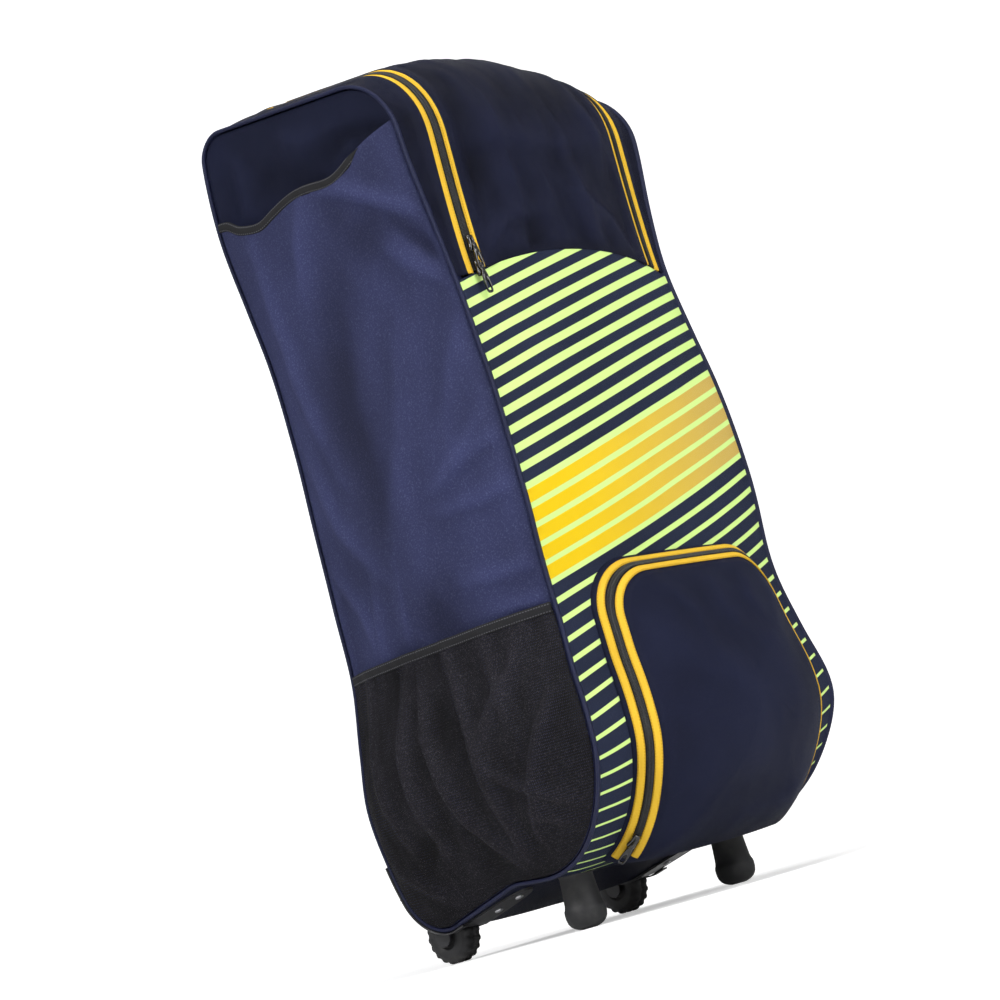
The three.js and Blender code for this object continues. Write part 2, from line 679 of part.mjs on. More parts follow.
// Places along the depth at which lines on the sides are drawn.
function lineSteps(from, to) {
  const steps = [from];
  for (let k = Math.ceil(from / LINE_STEP); k * LINE_STEP < to; k += 1) steps.push(k * LINE_STEP);
  return [...steps, to];
}

// What lies below a line of the side, as a prism across the whole bag.
function belowLine(heightAt) {
  const far = LINE_STEP * Math.ceil((0.65 * BAG_DEPTH) / LINE_STEP);
  const line = lineSteps(-far, far).map((y) => [y, heightAt(y)]);
  const outline = [[far, -BAG_HEIGHT], [-far, -BAG_HEIGHT], ...line];
  return toSolid(prismAcross(outline, -BAG_WIDTH, BAG_WIDTH));
}

// A ribbon standing on a side layer along a line, its lower edge just above the line.
function sideRibbon(side, face, heightAt, reach, width, thickness) {
  const line = lineSteps(...reach).map((y) => new THREE.Vector3(0, y, heightAt(y)));
  const up = GAP + width / 2;
  const places = line.map((point, i) => {
    const along = line[Math.min(i + 1, line.length - 1)].clone().sub(line[Math.max(i - 1, 0)]).normalize();
    const y = point.y - along.z * up;
    const z = point.z + along.y * up;
    return new THREE.Vector3(side * face(y, z, shareAt(y, z)), y, z);
  });
  const outs = places.map(() => new THREE.Vector3(side, 0, 0));
  return sweep(framesAlong(places, outs), flatSection(width, -thickness, 0));
}

// How far along the depth a side layer reaches at a height.
function sideReach(z, margin) {
  const back = outlineAt(backStation(z));
  const front = outlineAt(findStation(STATION.zipRear, (p) => p.ny < -0.3 && p.z < z));
  return [front.y + margin, back.y - margin];
}

function addSides() {
  const belowMouth = belowLine(mouthHeight);
  const belowBand = belowLine(() => MESH_HEIGHT);
  [['left', -1], ['right', 1]].forEach(([word, side]) => {
    const wall = sideLayer(side, wallFace, WALL, [0.5, 0.82, 0.94, 1], INNER_INSET);
    addMesh(`side_panel_${word}`, wall, MATERIALS.satin);
    const sleeve = toSolid(sideLayer(side, sleeveFace, WALL, [0.3, 0.56, 0.78, 0.93, 1]));
    addMesh(`bat_sleeve_${word}`, toGeometry(sleeve.intersect(belowMouth)), MATERIALS.side);
    const mesh = toSolid(sideLayer(side, meshFace, MESH_WALL, [0.45, 0.75, 0.92, 1]));
    addMesh(`mesh_pocket_${word}`, toGeometry(mesh.intersect(belowBand)), MATERIALS.mesh);
    const mouthBack = sideReach(MOUTH_HEIGHT, BAND_MARGIN)[1];
    const mouthReach = [MOUTH_FRONT * BAG_DEPTH, mouthBack];
    const binding = sideRibbon(
      side, sleeveFace, mouthHeight, mouthReach, BINDING_WIDTH, BINDING_THICKNESS,
    );
    addMesh(`sleeve_binding_${word}`, binding, MATERIALS.elastic);
    const band = sideRibbon(
      side, meshFace, () => MESH_HEIGHT, sideReach(MESH_HEIGHT, BAND_MARGIN), BAND_WIDTH, MESH_WALL,
    );
    addMesh(`mesh_band_${word}`, band, MATERIALS.elastic);
    const places = OUTLINE.line.map((p) => new THREE.Vector3(side * halfWidth(p.z), p.y, p.z));
    const outs = places.map(() => new THREE.Vector3(side, 0, 0));
    const frames = framesAlong(places, outs, true);
    addMesh(`piping_${word}`, sweep(frames, roundSection(PIPING_RADIUS, 6), true), MATERIALS.piping);
  });
}

// The lid, what surrounds it and its zip, laid out across the strip from the chain's middle.
const LAY = {
  chain: 0,
  tape: ZIP_CHAIN / 2 + GAP + ZIP_TAPE / 2,
  panel: ZIP_CHAIN / 2 + 2 * GAP + ZIP_TAPE,
};
const LID_HALF = MAIN_ZIP_HALF - LAY.panel;

// The lid's lower edge, highest at mid width.
function hemAt(x) {
  const share = Math.min(Math.abs(x) / edgeOf(STATION.hem), 1);
  return STATION.hem - HEM_ARCH * (1 - share ** 2);
}

// The zip's route, moved in towards the lid or out from it.
function zipRoute(outwards, width = 0) {
  const x = MAIN_ZIP_HALF + outwards;
  const rear = STATION.zipRear - outwards;
  const low = hemAt(x - width / 2) - HEM_GAP;
  return roundedPath([[low, -x], [rear, -x], [rear, x], [low, x]], MAIN_ZIP_RADIUS + outwards);
}

function addLid() {
  const radius = MAIN_ZIP_RADIUS - LAY.panel;
  const rearAt = (x) => {
    const past = Math.max(Math.abs(x) - (LID_HALF - radius), 0);
    return STATION.zipRear + LAY.panel + radius - Math.sqrt(Math.max(radius ** 2 - past ** 2, 0));
  };
  addMesh('lid_panel', stripPanel(rearAt, (x) => hemAt(x) - HEM_GAP, () => LID_HALF), MATERIALS.satin);

  const inner = zipRoute(LAY.panel);
  const rear = STATION.rearSeam + GAP / 2;
  const outer = inner.map(([s, x]) => {
    const edge = edgeOf(s);
    const flatSpan = MAIN_ZIP_HALF - MAIN_ZIP_RADIUS;
    if (Math.abs(x) <= flatSpan) return [rear, x];
    const turn = (Math.abs(x) - flatSpan) / (MAIN_ZIP_RADIUS + LAY.panel);
    const level = THREE.MathUtils.clamp(turn, 0, 1);
    if (level > 0.999) return [s, Math.sign(x) * edge];
    const angle = Math.asin(level);
    const corner = edgeOf(rear);
    if (angle <= Math.PI / 4) {
      return [rear, Math.sign(x) * THREE.MathUtils.lerp(flatSpan, corner, angle / (Math.PI / 4))];
    }
    const down = (angle - Math.PI / 4) / (Math.PI / 4);
    const to = STATION.zipRear + MAIN_ZIP_RADIUS;
    const place = THREE.MathUtils.lerp(rear, to, down);
    return [place, Math.sign(x) * edgeOf(place)];
  });
  const steps = 3;
  const grids = [[], []];
  inner.forEach((start, i) => {
    const rows = [[], []];
    for (let k = 0; k <= steps; k += 1) {
      const s = THREE.MathUtils.lerp(start[0], outer[i][0], k / steps);
      const x = THREE.MathUtils.lerp(start[1], outer[i][1], k / steps);
      rows[0].push(stripPoint(s, x));
      rows[1].push(stripPoint(s, x).addScaledVector(stripNormal(s, x), -WALL));
    }
    grids[0].push(rows[0]);
    grids[1].push(rows[1]);
  });
  addMesh('lid_surround', wallFromGrids(...grids), MATERIALS.satin);

  const low = -ZIP_THICKNESS / 2;
  const chain = stripRibbon(zipRoute(0, ZIP_CHAIN), ZIP_CHAIN, low, low + ZIP_THICKNESS);
  addMesh('main_zip_chain', chain, MATERIALS.chain);
  [['inner', -LAY.tape], ['outer', LAY.tape]].forEach(([word, outwards]) => {
    const tape = stripRibbon(zipRoute(outwards, ZIP_TAPE), ZIP_TAPE, -TAPE_THICKNESS, 0);
    addMesh(`main_zip_tape_${word}`, tape, MATERIALS.tape);
  });
}

// The big panels below the lid, and the wells that the wheels need in the base.
const WHEEL_PLACE = { y: REAR_LINE - WHEEL_SETBACK, z: WHEEL_RADIUS };
const WELL_HALF = WHEEL_WIDTH / 2 + WELL_SIDE_CLEARANCE;
const WELL_RADIUS = WHEEL_RADIUS + WELL_RADIAL_CLEARANCE;

function housingBlock(side, grow) {
  const half = WELL_HALF + HOUSING_WALL + grow;
  const middle = (side * WHEEL_TRACK) / 2;
  const front = WHEEL_PLACE.y - WELL_RADIUS - HOUSING_WALL - grow;
  const top = WHEEL_PLACE.z + WELL_RADIUS + HOUSING_WALL + grow;
  const rear = REAR_LINE + BAG_DEPTH / 4;
  return toSolid(boxBetween([middle - half, front, -BAG_HEIGHT], [middle + half, rear, top]));
}

function addPanels() {
  const front = stripPanel(hemAt, () => STATION.frontSeam - GAP / 2, edgeOf);
  addMesh('front_panel', front, MATERIALS.stripe);
  const back = stripPanel(() => STATION.backSeam + GAP / 2, () => STATION.rearSeam - GAP / 2, edgeOf);
  addMesh('back_panel', back, MATERIALS.side);
  const backEnd = OUTLINE.length + STATION.backSeam - GAP / 2;
  const whole = toSolid(stripPanel(() => STATION.frontSeam + GAP / 2, () => backEnd, edgeOf));
  const base = [-1, 1].reduce((solid, side) => solid.subtract(housingBlock(side, GAP)), whole);
  addMesh('base_panel', toGeometry(base), MATERIALS.pocket);
}

// Front pocket, a domed cover whose slanted rim carries its zip.
const POCKET_STATIONS = { top: frontStation(POCKET_TOP), foot: frontStation(POCKET_FOOT) };
const POCKET_MIDDLE = (POCKET_STATIONS.top + POCKET_STATIONS.foot) / 2;

function pocketOutline() {
  const half = POCKET_WIDTH / 2;
  const { top, foot } = POCKET_STATIONS;
  const outline = [];
  const arc = (s, x, radius, from) => {
    const steps = 4;
    for (let k = 0; k <= steps; k += 1) {
      const angle = from + (Math.PI / 2) * (k / steps);
      outline.push([s + radius * Math.sin(angle), x + radius * Math.cos(angle)]);
    }
  };
  const line = (to) => {
    const from = outline[outline.length - 1];
    const steps = Math.ceil(Math.hypot(to[0] - from[0], to[1] - from[1]) / PATH_STEP);
    for (let k = 1; k < steps; k += 1) {
      const t = k / steps;
      outline.push([THREE.MathUtils.lerp(from[0], to[0], t), THREE.MathUtils.lerp(from[1], to[1], t)]);
    }
  };
  arc(foot - POCKET_FOOT_RADIUS, half - POCKET_FOOT_RADIUS, POCKET_FOOT_RADIUS, 0);
  line([foot, -half + POCKET_FOOT_RADIUS]);
  arc(foot - POCKET_FOOT_RADIUS, -half + POCKET_FOOT_RADIUS, POCKET_FOOT_RADIUS, Math.PI / 2);
  line([top + POCKET_RADIUS, -half]);
  arc(top + POCKET_RADIUS, -half + POCKET_RADIUS, POCKET_RADIUS, Math.PI);
  line([top, half - POCKET_RADIUS]);
  arc(top + POCKET_RADIUS, half - POCKET_RADIUS, POCKET_RADIUS, 1.5 * Math.PI);
  line([foot - POCKET_FOOT_RADIUS, half]);
  return outline;
}
const POCKET_OUTLINE = pocketOutline();

function pocketHeight(share) {
  const past = Math.min((1 - share) / (1 - POCKET_RIM_SHARE), 1);
  const inside = Math.min(share / POCKET_RIM_SHARE, 1);
  return POCKET_GUSSET * past + (POCKET_DEPTH - POCKET_GUSSET) * (1 - inside ** POCKET_DOME_POWER);
}

function pocketPoint(index, share, depth = 0) {
  const count = POCKET_OUTLINE.length;
  const i = ((Math.floor(index) % count) + count) % count;
  const [a, b] = [POCKET_OUTLINE[i], POCKET_OUTLINE[(i + 1) % count]];
  const t = index - Math.floor(index);
  const rimS = THREE.MathUtils.lerp(a[0], b[0], t);
  const rimX = THREE.MathUtils.lerp(a[1], b[1], t);
  const s = THREE.MathUtils.lerp(POCKET_MIDDLE, rimS, share);
  const x = rimX * share * (outlineAt(s).half / (BAG_WIDTH / 2));
  return stripPoint(s, x, GAP + pocketHeight(share) - depth);
}

function pocketNormal(index, share) {
  const around = pocketPoint(index + 0.02, share).sub(pocketPoint(index - 0.02, share));
  const outwards = pocketPoint(index, share + 0.01).sub(pocketPoint(index, share - 0.01));
  const normal = around.cross(outwards).normalize();
  return normal.y > 0 && Math.abs(normal.y) > 0.1 ? normal.negate() : normal;
}

function addPocket() {
  const count = POCKET_OUTLINE.length;
  const shares = [1, 0.9, POCKET_RIM_SHARE, 0.6, 0.3];
  const inset = WALL / (POCKET_WIDTH / 2);
  const vertices = [];
  const triangles = [];
  const quad = (a, b, c, d) => triangles.push(a, b, c, a, c, d);
  [0, WALL].forEach((depth) => {
    shares.forEach((share) => {
      const drawn = depth ? share - inset : share;
      for (let i = 0; i < count; i += 1) {
        const sunk = share === 1 ? pocketHeight(drawn) + POCKET_SEAT : depth;
        vertices.push(pocketPoint(i, drawn, sunk));
      }
    });
    vertices.push(pocketPoint(0, 0, depth));
  });
  const shift = shares.length * count + 1;
  for (let i = 0; i < count; i += 1) {
    const k = (i + 1) % count;
    for (let ring = 0; ring + 1 < shares.length; ring += 1) {
      const [a, b] = [ring * count + i, ring * count + k];
      quad(a, a + count, b + count, b);
      quad(a + shift, b + shift, b + count + shift, a + count + shift);
    }
    const last = (shares.length - 1) * count;
    triangles.push(last + i, shift - 1, last + k);
    triangles.push(last + i + shift, last + k + shift, 2 * shift - 1);
    quad(i, k, k + shift, i + shift);
  }
  const cover = toSolid(makeGeometry(vertices, triangles)).subtract(bagForm(GAP));
  addMesh('front_pocket', toGeometry(cover), MATERIALS.pocket);

  const straightFrom = POCKET_STATIONS.foot - POCKET_FOOT_RADIUS - 1;
  const first = POCKET_OUTLINE.findIndex(([s, x]) => x < 0 && s < straightFrom);
  const last = count - 1;
  const ribbon = (share, width, thickness) => {
    const places = [];
    const outs = [];
    for (let index = first; index <= last; index += 1) {
      places.push(pocketPoint(index, share));
      outs.push(pocketNormal(index, share));
    }
    return sweep(framesAlong(places, outs), flatSection(width, 2 * GAP, 2 * GAP + thickness));
  };
  const halfHeight = (POCKET_STATIONS.foot - POCKET_STATIONS.top) / 2;
  const slant = Math.hypot(POCKET_GUSSET, (1 - POCKET_RIM_SHARE) * halfHeight);
  const shareOf = (reach) => 1 - (reach / slant) * (1 - POCKET_RIM_SHARE);
  const outerReach = POCKET_ZIP_START + POCKET_ZIP_TAPE / 2;
  const toChain = (POCKET_ZIP_TAPE + POCKET_ZIP_CHAIN) / 2 + 3 * GAP;
  const chainReach = outerReach + toChain;
  const innerReach = chainReach + toChain;
  const chain = ribbon(shareOf(chainReach), POCKET_ZIP_CHAIN, ZIP_THICKNESS);
  addMesh('pocket_zip_chain', chain, MATERIALS.chain);
  [['outer', outerReach], ['inner', innerReach]].forEach(([word, reach]) => {
    const tape = ribbon(shareOf(reach), POCKET_ZIP_TAPE, TAPE_THICKNESS);
    addMesh(`pocket_zip_tape_${word}`, tape, MATERIALS.tape);
  });
  return { first, share: shareOf(chainReach) };
}

// A slider body and its hanging pull, placed by a frame whose along direction points down the zip.
function addSlider(name, place, out, along) {
  const aside = along.clone().cross(out).normalize();
  const basis = new THREE.Matrix4().makeBasis(aside, along, out);
  const put = (geometry, shift) => {
    geometry.translate(...shift);
    return geometry.applyMatrix4(basis).translate(place.x, place.y, place.z);
  };
  const wide = SLIDER_WIDTH / 2;
  const body = new THREE.CylinderGeometry(wide, wide / SLIDER_TAPER, SLIDER_LENGTH, 10, 1);
  body.scale(1, 1, SLIDER_HEIGHT / SLIDER_WIDTH);
  addMesh(`${name}_slider`, put(body, [0, 0, SLIDER_HEIGHT / 2]), MATERIALS.slider);
  const shape = new THREE.Shape();
  const half = PULL_WIDTH / 2;
  shape.moveTo(-half * PULL_NECK, 0);
  shape.lineTo(half * PULL_NECK, 0);
  shape.lineTo(half, PULL_LENGTH - half);
  shape.absarc(0, PULL_LENGTH - half, half, 0, Math.PI, false);
  const pull = new THREE.ExtrudeGeometry(shape, {
    depth: PULL_THICKNESS, bevelEnabled: false, curveSegments: 6,
  });
  const height = SLIDER_HEIGHT + 3 * GAP;
  addMesh(`${name}_pull`, put(pull, [0, PULL_START, height]), MATERIALS.slider);
}

function addSliders() {
  const down = (s, x) => stripPoint(s + 2, x).sub(stripPoint(s - 2, x)).normalize();
  [['main_zip_upper', SLIDER_SPACING], ['main_zip_lower', 0]].forEach(([name, back]) => {
    const s = STATION.hem - SLIDER_LENGTH / 2 - back;
    const x = -MAIN_ZIP_HALF;
    const out = stripNormal(s, x);
    const place = stripPoint(s, x).addScaledVector(out, ZIP_THICKNESS / 2 + GAP);
    addSlider(name, place, out, down(s, x));
  });
}

// Wheels, their housings, axles and rivets.
function wheelGeometry() {
  const shape = new THREE.Shape();
  const points = WHEEL_LOBES * 2;
  for (let i = 0; i < points; i += 1) {
    const angle = (2 * Math.PI * i) / points;
    const radius = WHEEL_RADIUS - LOBE_DEPTH * (0.5 - 0.5 * Math.cos(angle * WHEEL_LOBES));
    const step = [radius * Math.cos(angle), radius * Math.sin(angle)];
    if (i) shape.lineTo(...step);
    else shape.moveTo(...step);
  }
  shape.closePath();
  const bore = new THREE.Path();
  bore.absarc(0, 0, AXLE_RADIUS + BORE_CLEARANCE, 0, 2 * Math.PI, true);
  shape.holes.push(bore);
  const geometry = new THREE.ExtrudeGeometry(shape, {
    depth: WHEEL_WIDTH - 2 * WHEEL_SHOULDER, bevelEnabled: false, curveSegments: 4,
  });
  geometry.rotateY(Math.PI / 2).translate(-WHEEL_WIDTH / 2 + WHEEL_SHOULDER, 0, 0);
  const face = new THREE.CylinderGeometry(HUB_RADIUS, HUB_RADIUS, HUB_RECESS, 20);
  face.rotateZ(Math.PI / 2);
  let solid = toSolid(geometry);
  [-1, 1].forEach((end) => {
    const shoulder = new THREE.CylinderGeometry(
      WHEEL_RADIUS - LOBE_DEPTH, WHEEL_RADIUS - SHOULDER_DROP, WHEEL_SHOULDER, 24,
    );
    const middle = (WHEEL_WIDTH - WHEEL_SHOULDER) / 2;
    shoulder.rotateZ((-end * Math.PI) / 2).translate(end * middle, 0, 0);
    solid = solid.add(toSolid(shoulder));
    const depth = (WHEEL_WIDTH - HUB_RECESS) / 2 + OVERSHOOT;
    const recess = face.clone().translate(end * depth, 0, 0);
    solid = solid.subtract(toSolid(recess));
  });
  const bored = AXLE_RADIUS + BORE_CLEARANCE;
  const hole = new THREE.CylinderGeometry(bored, bored, 2 * WHEEL_WIDTH, 12);
  hole.rotateZ(Math.PI / 2);
  return toGeometry(solid.subtract(toSolid(hole)));
}

// The two cheeks of a housing that carry the ends of the axle.
function cheeks(middle) {
  const { y, z } = WHEEL_PLACE;
  const top = z + WELL_RADIUS;
  const outline = [[y + CHEEK_RADIUS, top], [y - CHEEK_RADIUS, top]];
  const steps = 8;
  for (let k = 0; k <= steps; k += 1) {
    const angle = Math.PI * (1 + k / steps);
    outline.push([y + CHEEK_RADIUS * Math.cos(angle), z + CHEEK_RADIUS * Math.sin(angle)]);
  }
  return [-1, 1].map((end) => {
    const near = middle + end * WELL_HALF;
    const far = near + end * HOUSING_WALL;
    return toSolid(prismAcross(outline, Math.min(near, far), Math.max(near, far)));
  });
}

function plateOutline(side) {
  const middle = (side * WHEEL_TRACK) / 2;
  const half = PLATE_WIDTH / 2;
  const front = REAR_LINE - PLATE_LENGTH;
  const shape = new THREE.Shape();
  const back = REAR_LINE + BAG_DEPTH / 4;
  shape.moveTo(middle - half, back);
  shape.lineTo(middle - half, front + PLATE_TIP);
  shape.quadraticCurveTo(middle - half, front, middle, front);
  shape.quadraticCurveTo(middle + half, front, middle + half, front + PLATE_TIP);
  shape.lineTo(middle + half, back);
  shape.closePath();
  const height = WHEEL_PLACE.z + WELL_RADIUS + HOUSING_WALL;
  const geometry = new THREE.ExtrudeGeometry(shape, {
    depth: height, bevelEnabled: false, curveSegments: 5,
  });
  return toSolid(geometry);
}

function addWheels() {
  const skin = bagForm(GAP + PLATE_THICKNESS).subtract(bagForm(GAP));
  const grown = bagForm(GAP + PLATE_THICKNESS);
  [['left', -1], ['right', 1]].forEach(([word, side]) => {
    const middle = (side * WHEEL_TRACK) / 2;
    const { y, z } = WHEEL_PLACE;
    addMesh(`wheel_${word}`, wheelGeometry().translate(middle, y, z), MATERIALS.rubber);

    const slot = new THREE.CylinderGeometry(WELL_RADIUS, WELL_RADIUS, 2 * WELL_HALF, 32);
    slot.rotateZ(Math.PI / 2).translate(middle, y, z);
    const mouth = boxBetween(
      [middle - WELL_HALF, y - WELL_RADIUS, -BAG_HEIGHT],
      [middle + WELL_HALF, REAR_LINE + BAG_DEPTH / 3, z],
    );
    const rearMouth = boxBetween(
      [middle - WELL_HALF, y, -BAG_HEIGHT],
      [middle + WELL_HALF, REAR_LINE + BAG_DEPTH / 3, z + WELL_RADIUS * WELL_MOUTH_SHARE],
    );
    const block = housingBlock(side, 0).intersect(grown);
    const shell = skin.intersect(plateOutline(side)).add(block)
      .subtract(toSolid(slot)).subtract(toSolid(mouth)).subtract(toSolid(rearMouth));
    const housing = cheeks(middle).reduce((solid, cheek) => solid.add(cheek), shell);
    addMesh(`wheel_housing_${word}`, toGeometry(housing), MATERIALS.plastic);

    const axle = new THREE.CylinderGeometry(AXLE_RADIUS, AXLE_RADIUS, 2 * (WELL_HALF - GAP), 12);
    axle.rotateZ(Math.PI / 2).translate(middle, y, z);
    addMesh(`axle_${word}`, axle, MATERIALS.steel);

    RIVET_REACH.forEach((reach, i) => {
      const s = baseStation(REAR_LINE - reach);
      const out = stripNormal(s, middle);
      const dome = new THREE.SphereGeometry(RIVET_RADIUS, 8, 3, 0, 2 * Math.PI, 0, Math.PI / 2);
      const lid = new THREE.CircleGeometry(RIVET_RADIUS, 8).rotateX(Math.PI / 2);
      const rivet = closedDome(dome, lid);
      rivet.scale(1, RIVET_HEIGHT / RIVET_RADIUS, 1);
      rivet.applyQuaternion(new THREE.Quaternion().setFromUnitVectors(new THREE.Vector3(0, 1, 0), out));
      const place = stripPoint(s, middle, 2 * GAP + PLATE_THICKNESS);
      addMesh(`rivet_${word}_${i + 1}`, rivet.translate(place.x, place.y, place.z), MATERIALS.steel);
    });
  });
}

// A half sphere and the disc that closes it, as one surface.
function closedDome(dome, lid) {
  const vertices = [];
  const triangles = [];
  [dome, lid].forEach((geometry) => {
    const start = vertices.length;
    const { position } = geometry.attributes;
    for (let i = 0; i < position.count; i += 1) {
      vertices.push(new THREE.Vector3().fromBufferAttribute(position, i));
    }
    triangles.push(...Array.from(geometry.index.array, (v) => v + start));
  });
  return toGeometry(toSolid(makeGeometry(vertices, triangles)));
}

// Rubber feet, trimmed to the base above them.
function addFeet() {
  const form = bagForm(GAP);
  [['left', -1], ['right', 1]].forEach(([word, side]) => {
    const x = (side * FOOT_SPACING) / 2;
    const y = -FOOT_FORWARD;
    const top = BASE_CLEARANCE + BASE_RISE + FOOT_SINK;
    const profile = [new THREE.Vector2(0, 0), new THREE.Vector2(FOOT_FLAT_RADIUS, 0)];
    const steps = 6;
    for (let k = 1; k <= steps; k += 1) {
      const angle = (Math.PI / 2) * (k / steps);
      const reach = FOOT_RADIUS - FOOT_FLAT_RADIUS;
      profile.push(new THREE.Vector2(
        FOOT_FLAT_RADIUS + reach * Math.sin(angle), FOOT_RADIUS * (1 - Math.cos(angle)),
      ));
    }
    profile.push(new THREE.Vector2(FOOT_NECK_RADIUS, top - FOOT_SHOULDER));
    profile.push(new THREE.Vector2(FOOT_RADIUS, top), new THREE.Vector2(0, top));
    const column = new THREE.LatheGeometry(profile, 20).rotateX(Math.PI / 2).translate(x, y, 0);
    addMesh(`foot_${word}`, toGeometry(toSolid(column).subtract(form)), MATERIALS.rubber);
  });
}

// Guards round the rear bottom corners, just outside the piping.
function addGuards() {
  const start = baseStation(REAR_LINE - GUARD_REACH);
  const end = OUTLINE.length + backStation(GUARD_TOP);
  const stations = [start, ...stationsBetween(start, end), end];
  [['left', -1], ['right', 1]].forEach(([word, side]) => {
    const places = stations.map((s) => {
      const p = outlineAt(s);
      const x = side * (p.half - GUARD_WIDTH / 2 + PIPING_RADIUS);
      return new THREE.Vector3(x, p.y, p.z);
    });
    const outs = stations.map((s) => new THREE.Vector3(0, outlineAt(s).ny, outlineAt(s).nz));
    const low = PIPING_RADIUS + 2 * GAP;
    const section = flatSection(GUARD_WIDTH, low, low + GUARD_THICKNESS);
    const guard = sweep(framesAlong(places, outs), section);
    addMesh(`corner_guard_${word}`, guard, MATERIALS.plastic);
  });
}

// Shoulder straps, their lower webbing, the tabs that hold it and its loose tails.
function backRibbon(path, width, thickness, lifts) {
  const places = [];
  const outs = [];
  path.forEach(([x, z], i) => {
    const s = backStation(z);
    const out = stripNormal(s, x);
    places.push(stripPoint(s, x).addScaledVector(out, lifts[i]));
    outs.push(out);
  });
  return sweep(framesAlong(places, outs), flatSection(width, GAP, GAP + thickness));
}

function addStraps() {
  [['left', -1], ['right', 1]].forEach(([word, side]) => {
    const steps = 12;
    const path = [];
    const lifts = [];
    for (let k = 0; k <= steps; k += 1) {
      const t = k / steps;
      const spread = THREE.MathUtils.lerp(STRAP_SPREAD.top, STRAP_SPREAD.bottom, t ** 1.6);
      path.push([side * spread, THREE.MathUtils.lerp(STRAP_TOP, STRAP_BOTTOM, t)]);
      lifts.push(STRAP_LIFT * Math.sin(Math.PI * t));
    }
    const strap = backRibbon(path, STRAP_WIDTH, STRAP_THICKNESS, lifts);
    addMesh(`shoulder_strap_${word}`, strap, MATERIALS.pocket);

    const tabX = side * (halfWidth(TAB_HEIGHT) - SEAM_INSET - TAB_WIDTH / 2 - TAB_SIDE);
    const high = STRAP_BOTTOM - WEBBING_WIDTH * 0.6;
    const low = TAB_HEIGHT + TAB_SIZE / 2 + WEBBING_WIDTH / 2;
    const webbing = [];
    for (let k = 0; k <= 6; k += 1) {
      const x = THREE.MathUtils.lerp(side * STRAP_SPREAD.bottom, tabX, k / 6);
      webbing.push([x, THREE.MathUtils.lerp(high, low, k / 6)]);
    }
    const flat = webbing.map(() => 0);
    addMesh(
      `strap_webbing_${word}`, backRibbon(webbing, WEBBING_WIDTH, WEBBING_THICKNESS, flat),
      MATERIALS.elastic,
    );
    const tab = [TAB_SIZE / 2, 0, -TAB_SIZE / 2].map((rise) => [tabX, TAB_HEIGHT + rise]);
    addMesh(
      `strap_tab_${word}`, backRibbon(tab, TAB_WIDTH, TAB_THICKNESS, TAB_LIFTS), MATERIALS.pocket,
    );
    const tail = [];
    for (let k = 0; k <= 8; k += 1) {
      tail.push([tabX, THREE.MathUtils.lerp(TAB_HEIGHT - TAB_SIZE / 2 - 1, TAIL_BOTTOM, k / 8)]);
    }
    const { top, bottom } = TAIL_LIFTS;
    const tailLifts = tail.map((_, k) => THREE.MathUtils.lerp(top, bottom, k / 8));
    addMesh(
      `webbing_tail_${word}`, backRibbon(tail, WEBBING_WIDTH, WEBBING_THICKNESS, tailLifts),
      MATERIALS.elastic,
    );
  });
}

addSides();
addLid();
addPanels();
const pocketZip = addPocket();
addSliders();
addWheels();
addFeet();
addGuards();
addStraps();

// The pocket's slider hangs at the near foot of its zip.
{
  const { share, first: index } = pocketZip;
  const out = pocketNormal(index, share);
  const place = pocketPoint(index, share).addScaledVector(out, 3 * GAP + ZIP_THICKNESS);
  const along = pocketPoint(index, share).sub(pocketPoint(index + 1, share)).normalize();
  addSlider('pocket_zip', place, out, along);
}

// The origin is under the middle of the whole object.
const bounds = new THREE.Box3().setFromObject(bag);
bag.position.set(0, -(bounds.min.y + bounds.max.y) / 2, 0);

export default bag;
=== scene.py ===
"""Wheeled cricket kit bag: its cloth, zips, straps and running gear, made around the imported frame.

The bag's own sizes are in millimetres, with y counted from the middle of its side panels and z from
the floor. Meshes are made in metres, in the frame's axes.
"""

import math

import bpy
import numpy as np
from mathutils import Matrix, Vector, noise


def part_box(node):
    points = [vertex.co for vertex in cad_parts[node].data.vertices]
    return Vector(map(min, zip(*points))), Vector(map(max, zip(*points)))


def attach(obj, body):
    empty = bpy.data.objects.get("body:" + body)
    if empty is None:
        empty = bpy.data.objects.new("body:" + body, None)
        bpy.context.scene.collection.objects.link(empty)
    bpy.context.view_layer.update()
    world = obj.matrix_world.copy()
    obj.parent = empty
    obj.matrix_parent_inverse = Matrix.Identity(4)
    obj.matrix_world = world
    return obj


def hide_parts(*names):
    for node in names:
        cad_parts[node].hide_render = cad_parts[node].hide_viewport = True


bl_info = {
    "name": "Wheeled Cricket Kit Bag",
    "version": (1, 0, 0),
    "blender": (4, 5, 0),
    "location": "View3D > Sidebar > Kit Bag",
    "description": "Dresses the packed frame of a wheeled cricket kit bag",
    "category": "Add Mesh",
}

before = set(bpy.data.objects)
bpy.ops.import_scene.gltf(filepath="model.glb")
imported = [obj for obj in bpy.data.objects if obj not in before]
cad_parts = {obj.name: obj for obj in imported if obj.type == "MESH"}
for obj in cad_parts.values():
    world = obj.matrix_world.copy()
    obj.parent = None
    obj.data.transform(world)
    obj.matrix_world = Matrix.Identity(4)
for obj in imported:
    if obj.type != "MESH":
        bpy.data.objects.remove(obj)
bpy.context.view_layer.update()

MM = 0.001
SIDES = (("left", -1), ("right", 1))

